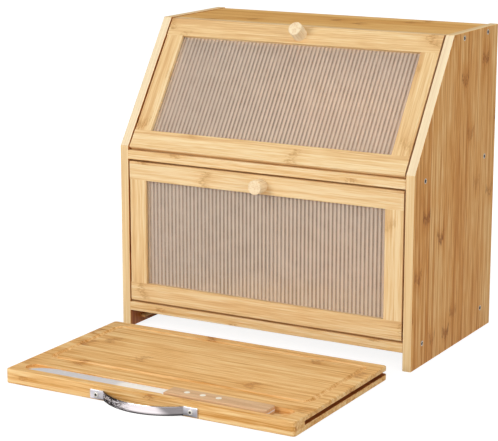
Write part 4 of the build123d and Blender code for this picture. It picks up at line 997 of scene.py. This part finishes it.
# Silvery white and matt, with fine lines across the blade, and a painted highlight at the heel
ground_steel, tree = blank_material("ground_stainless_steel")
spot = add(tree, "ShaderNodeTexCoord")
belt = add(tree, "ShaderNodeVectorMath", {0: spot.outputs["Object"], 1: GRIND_LINES},
           operation="MULTIPLY")
scratches = add(tree, "ShaderNodeTexNoise", {"Vector": belt.outputs[0], "Scale": 1.0,
                                             "Detail": 2.0})
tint = add(tree, "ShaderNodeValToRGB", {0: scratches.outputs["Fac"]},
           stops=((0.0, "DDDBE0"), (1.0, "FAF9FB")))
place = add(tree, "ShaderNodeSeparateXYZ", {0: spot.outputs["Object"]})
# Painted highlight: the heel is drawn near white and less metallic, up to the tang
heel_highlight = add(tree, "ShaderNodeMapRange", {"Value": place.outputs[0], "From Min": HEEL_HIGHLIGHT_X[0],
                                        "From Max": HEEL_HIGHLIGHT_X[1]})
tang = add(tree, "ShaderNodeMath", {0: place.outputs[0], 1: TANG_END_X}, operation="LESS_THAN")
heel_highlight = add(tree, "ShaderNodeMath", {0: heel_highlight.outputs[0], 1: tang.outputs[0]},
           operation="MULTIPLY")
tint = add(tree, "ShaderNodeMix", {0: heel_highlight.outputs[0], 6: tint.outputs[0],
                                   7: linear("FFFBF4")}, data_type="RGBA")
metal = add(tree, "ShaderNodeMapRange", {"Value": heel_highlight.outputs[0], "To Min": BLADE_METAL,
                                         "To Max": HEEL_HIGHLIGHT_METAL})
rough = add(tree, "ShaderNodeMapRange", {"Value": scratches.outputs["Fac"], "To Min": 0.42,
                                         "To Max": 0.60})
grind = add(tree, "ShaderNodeBump", {"Height": scratches.outputs["Fac"], "Strength": 0.08,
                                     "Distance": 0.0001})
surface = add(tree, "ShaderNodeBsdfPrincipled", {
    "Base Color": tint.outputs[2], "Metallic": metal.outputs[0], "Roughness": rough.outputs[0],
    "Normal": grind.outputs[0]})
add(tree, "ShaderNodeOutputMaterial", {"Surface": surface.outputs[0]})
finish(ground_steel, "knife_blade")

# ---------------------------------------------------------------------------
# Handle scales. Two slabs of smooth pinkish-brown hardwood, sanded flush with the tang and
# oiled; straight fine grain along the handle with short dark pores.
# ---------------------------------------------------------------------------
WOOD_GRAIN = (14, 420, 420)             # noise per metre: lines 2.4 mm apart
WOOD_PORES = (150, 2200, 2200)          # 7 mm long and 0.5 mm wide

# A smooth pinkish brown with a low shine, finely lined along the handle
scale_wood, tree = blank_material("oiled_reddish_hardwood")
spot = add(tree, "ShaderNodeTexCoord")
run = add(tree, "ShaderNodeVectorMath", {0: spot.outputs["Object"], 1: WOOD_GRAIN},
          operation="MULTIPLY")
grain = add(tree, "ShaderNodeTexNoise", {"Vector": run.outputs[0], "Scale": 1.0, "Detail": 3.0})
short = add(tree, "ShaderNodeVectorMath", {0: spot.outputs["Object"], 1: WOOD_PORES},
            operation="MULTIPLY")
pore = add(tree, "ShaderNodeTexNoise", {"Vector": short.outputs[0], "Scale": 1.0, "Detail": 1.0})
tint = add(tree, "ShaderNodeValToRGB", {0: grain.outputs["Fac"]},
           stops=((0.3, "C89A6C"), (0.7, "E8C196")))
dark = add(tree, "ShaderNodeMapRange", {"Value": pore.outputs["Fac"], "From Min": 0.60,
                                        "From Max": 0.75, "To Max": 0.4})
pored = add(tree, "ShaderNodeMix", {0: dark.outputs[0], 6: tint.outputs[0], 7: linear("94683F")},
            data_type="RGBA")
rough = add(tree, "ShaderNodeMapRange", {"Value": grain.outputs["Fac"], "To Min": 0.36,
                                         "To Max": 0.52})
bump = add(tree, "ShaderNodeBump", {"Height": pore.outputs["Fac"], "Strength": 0.1,
                                    "Distance": 0.0002})
surface = add(tree, "ShaderNodeBsdfPrincipled", {
    "Base Color": pored.outputs[2], "Roughness": rough.outputs[0], "Normal": bump.outputs[0],
    "IOR": 1.48})
add(tree, "ShaderNodeOutputMaterial", {"Surface": surface.outputs[0]})
finish(scale_wood, "handle_scale_lower", "handle_scale_upper")

# ---------------------------------------------------------------------------
# Handle rivets. Three soft steel rivets in a row, 20 mm apart, headed over in counterbores
# and sanded flush with both scales, so that each shows as a bright round spot.
# ---------------------------------------------------------------------------
RIVET_FIRST_X = 0.0423
RIVET_PITCH = 0.020
RIVETS = 3
RIVET_Y = -0.21825
RIVET_LOW_Z = 0.0106
RIVET_HIGH_Z = 0.0196
RIVET_HEAD_R = 0.0034
RIVET_HEAD_T = 0.0015
RIVET_SHANK_R = 0.002

# A cream white, dull and finely scuffed, with hardly any mirror in it
soft_metal = worked_metal("sanded_pale_rivet_metal", (1800, 1800, 1800), 2.0,
                          ("F6EDD6", "FFFBF0"), 0.05, (0.4, 0.6))

# A shank with a head on either end, set in a straight row
tree = empty_growth("rivet_row", "Row", {
    "First": "Vector", "Pitch": "Vector", "Rivets": "Int", "Head radius": "Float",
    "Head thickness": "Float", "Shank radius": "Float", "Length": "Float", "Metal": "Material"})
given = add(tree, "NodeGroupInput")
head = add(tree, "GeometryNodeMeshCylinder", {
    "Vertices": 32, "Radius": given.outputs["Head radius"],
    "Depth": given.outputs["Head thickness"]})
gap = add(tree, "ShaderNodeMath", {0: given.outputs["Length"],
                                   1: given.outputs["Head thickness"]}, operation="SUBTRACT")
shank = add(tree, "GeometryNodeMeshCylinder", {
    "Vertices": 24, "Radius": given.outputs["Shank radius"], "Depth": gap.outputs[0]})
rise_by = add(tree, "ShaderNodeMath", {0: gap.outputs[0], 1: 0.5}, operation="MULTIPLY")
drop_by = add(tree, "ShaderNodeMath", {0: gap.outputs[0], 1: -0.5}, operation="MULTIPLY")
above = add(tree, "ShaderNodeCombineXYZ", {2: rise_by.outputs[0]})
below = add(tree, "ShaderNodeCombineXYZ", {2: drop_by.outputs[0]})
top_head = add(tree, "GeometryNodeTransform", {"Geometry": head.outputs["Mesh"],
                                               "Translation": above.outputs[0]})
low_head = add(tree, "GeometryNodeTransform", {"Geometry": head.outputs["Mesh"],
                                               "Translation": below.outputs[0]})
rivet = add(tree, "GeometryNodeJoinGeometry")
for part in (top_head, low_head):
    tree.links.new(part.outputs[0], rivet.inputs[0])
tree.links.new(shank.outputs["Mesh"], rivet.inputs[0])
row = add(tree, "GeometryNodeMeshLine", {
    "Count": given.outputs["Rivets"], "Start Location": given.outputs["First"],
    "Offset": given.outputs["Pitch"]})
set_in = add(tree, "GeometryNodeInstanceOnPoints", {"Points": row.outputs[0],
                                                    "Instance": rivet.outputs[0]})
real = add(tree, "GeometryNodeRealizeInstances", {"Geometry": set_in.outputs[0]})
real = add(tree, "GeometryNodeSetShadeSmooth", {"Geometry": real.outputs[0],
                                                "Shade Smooth": False}, domain="FACE")
metal = add(tree, "GeometryNodeSetMaterial", {"Geometry": real.outputs[0],
                                              "Material": given.outputs["Metal"]})
add(tree, "NodeGroupOutput", {"Row": metal.outputs[0]})
rivets = grow("handle_rivets", tree, {
    "First": (RIVET_FIRST_X, RIVET_Y, (RIVET_LOW_Z + RIVET_HIGH_Z) / 2),
    "Pitch": (RIVET_PITCH, 0, 0), "Rivets": RIVETS, "Head radius": RIVET_HEAD_R,
    "Head thickness": RIVET_HEAD_T, "Shank radius": RIVET_SHANK_R,
    "Length": RIVET_HIGH_Z - RIVET_LOW_Z, "Metal": soft_metal})
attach(rivets, "knife")
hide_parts("knife_rivets")
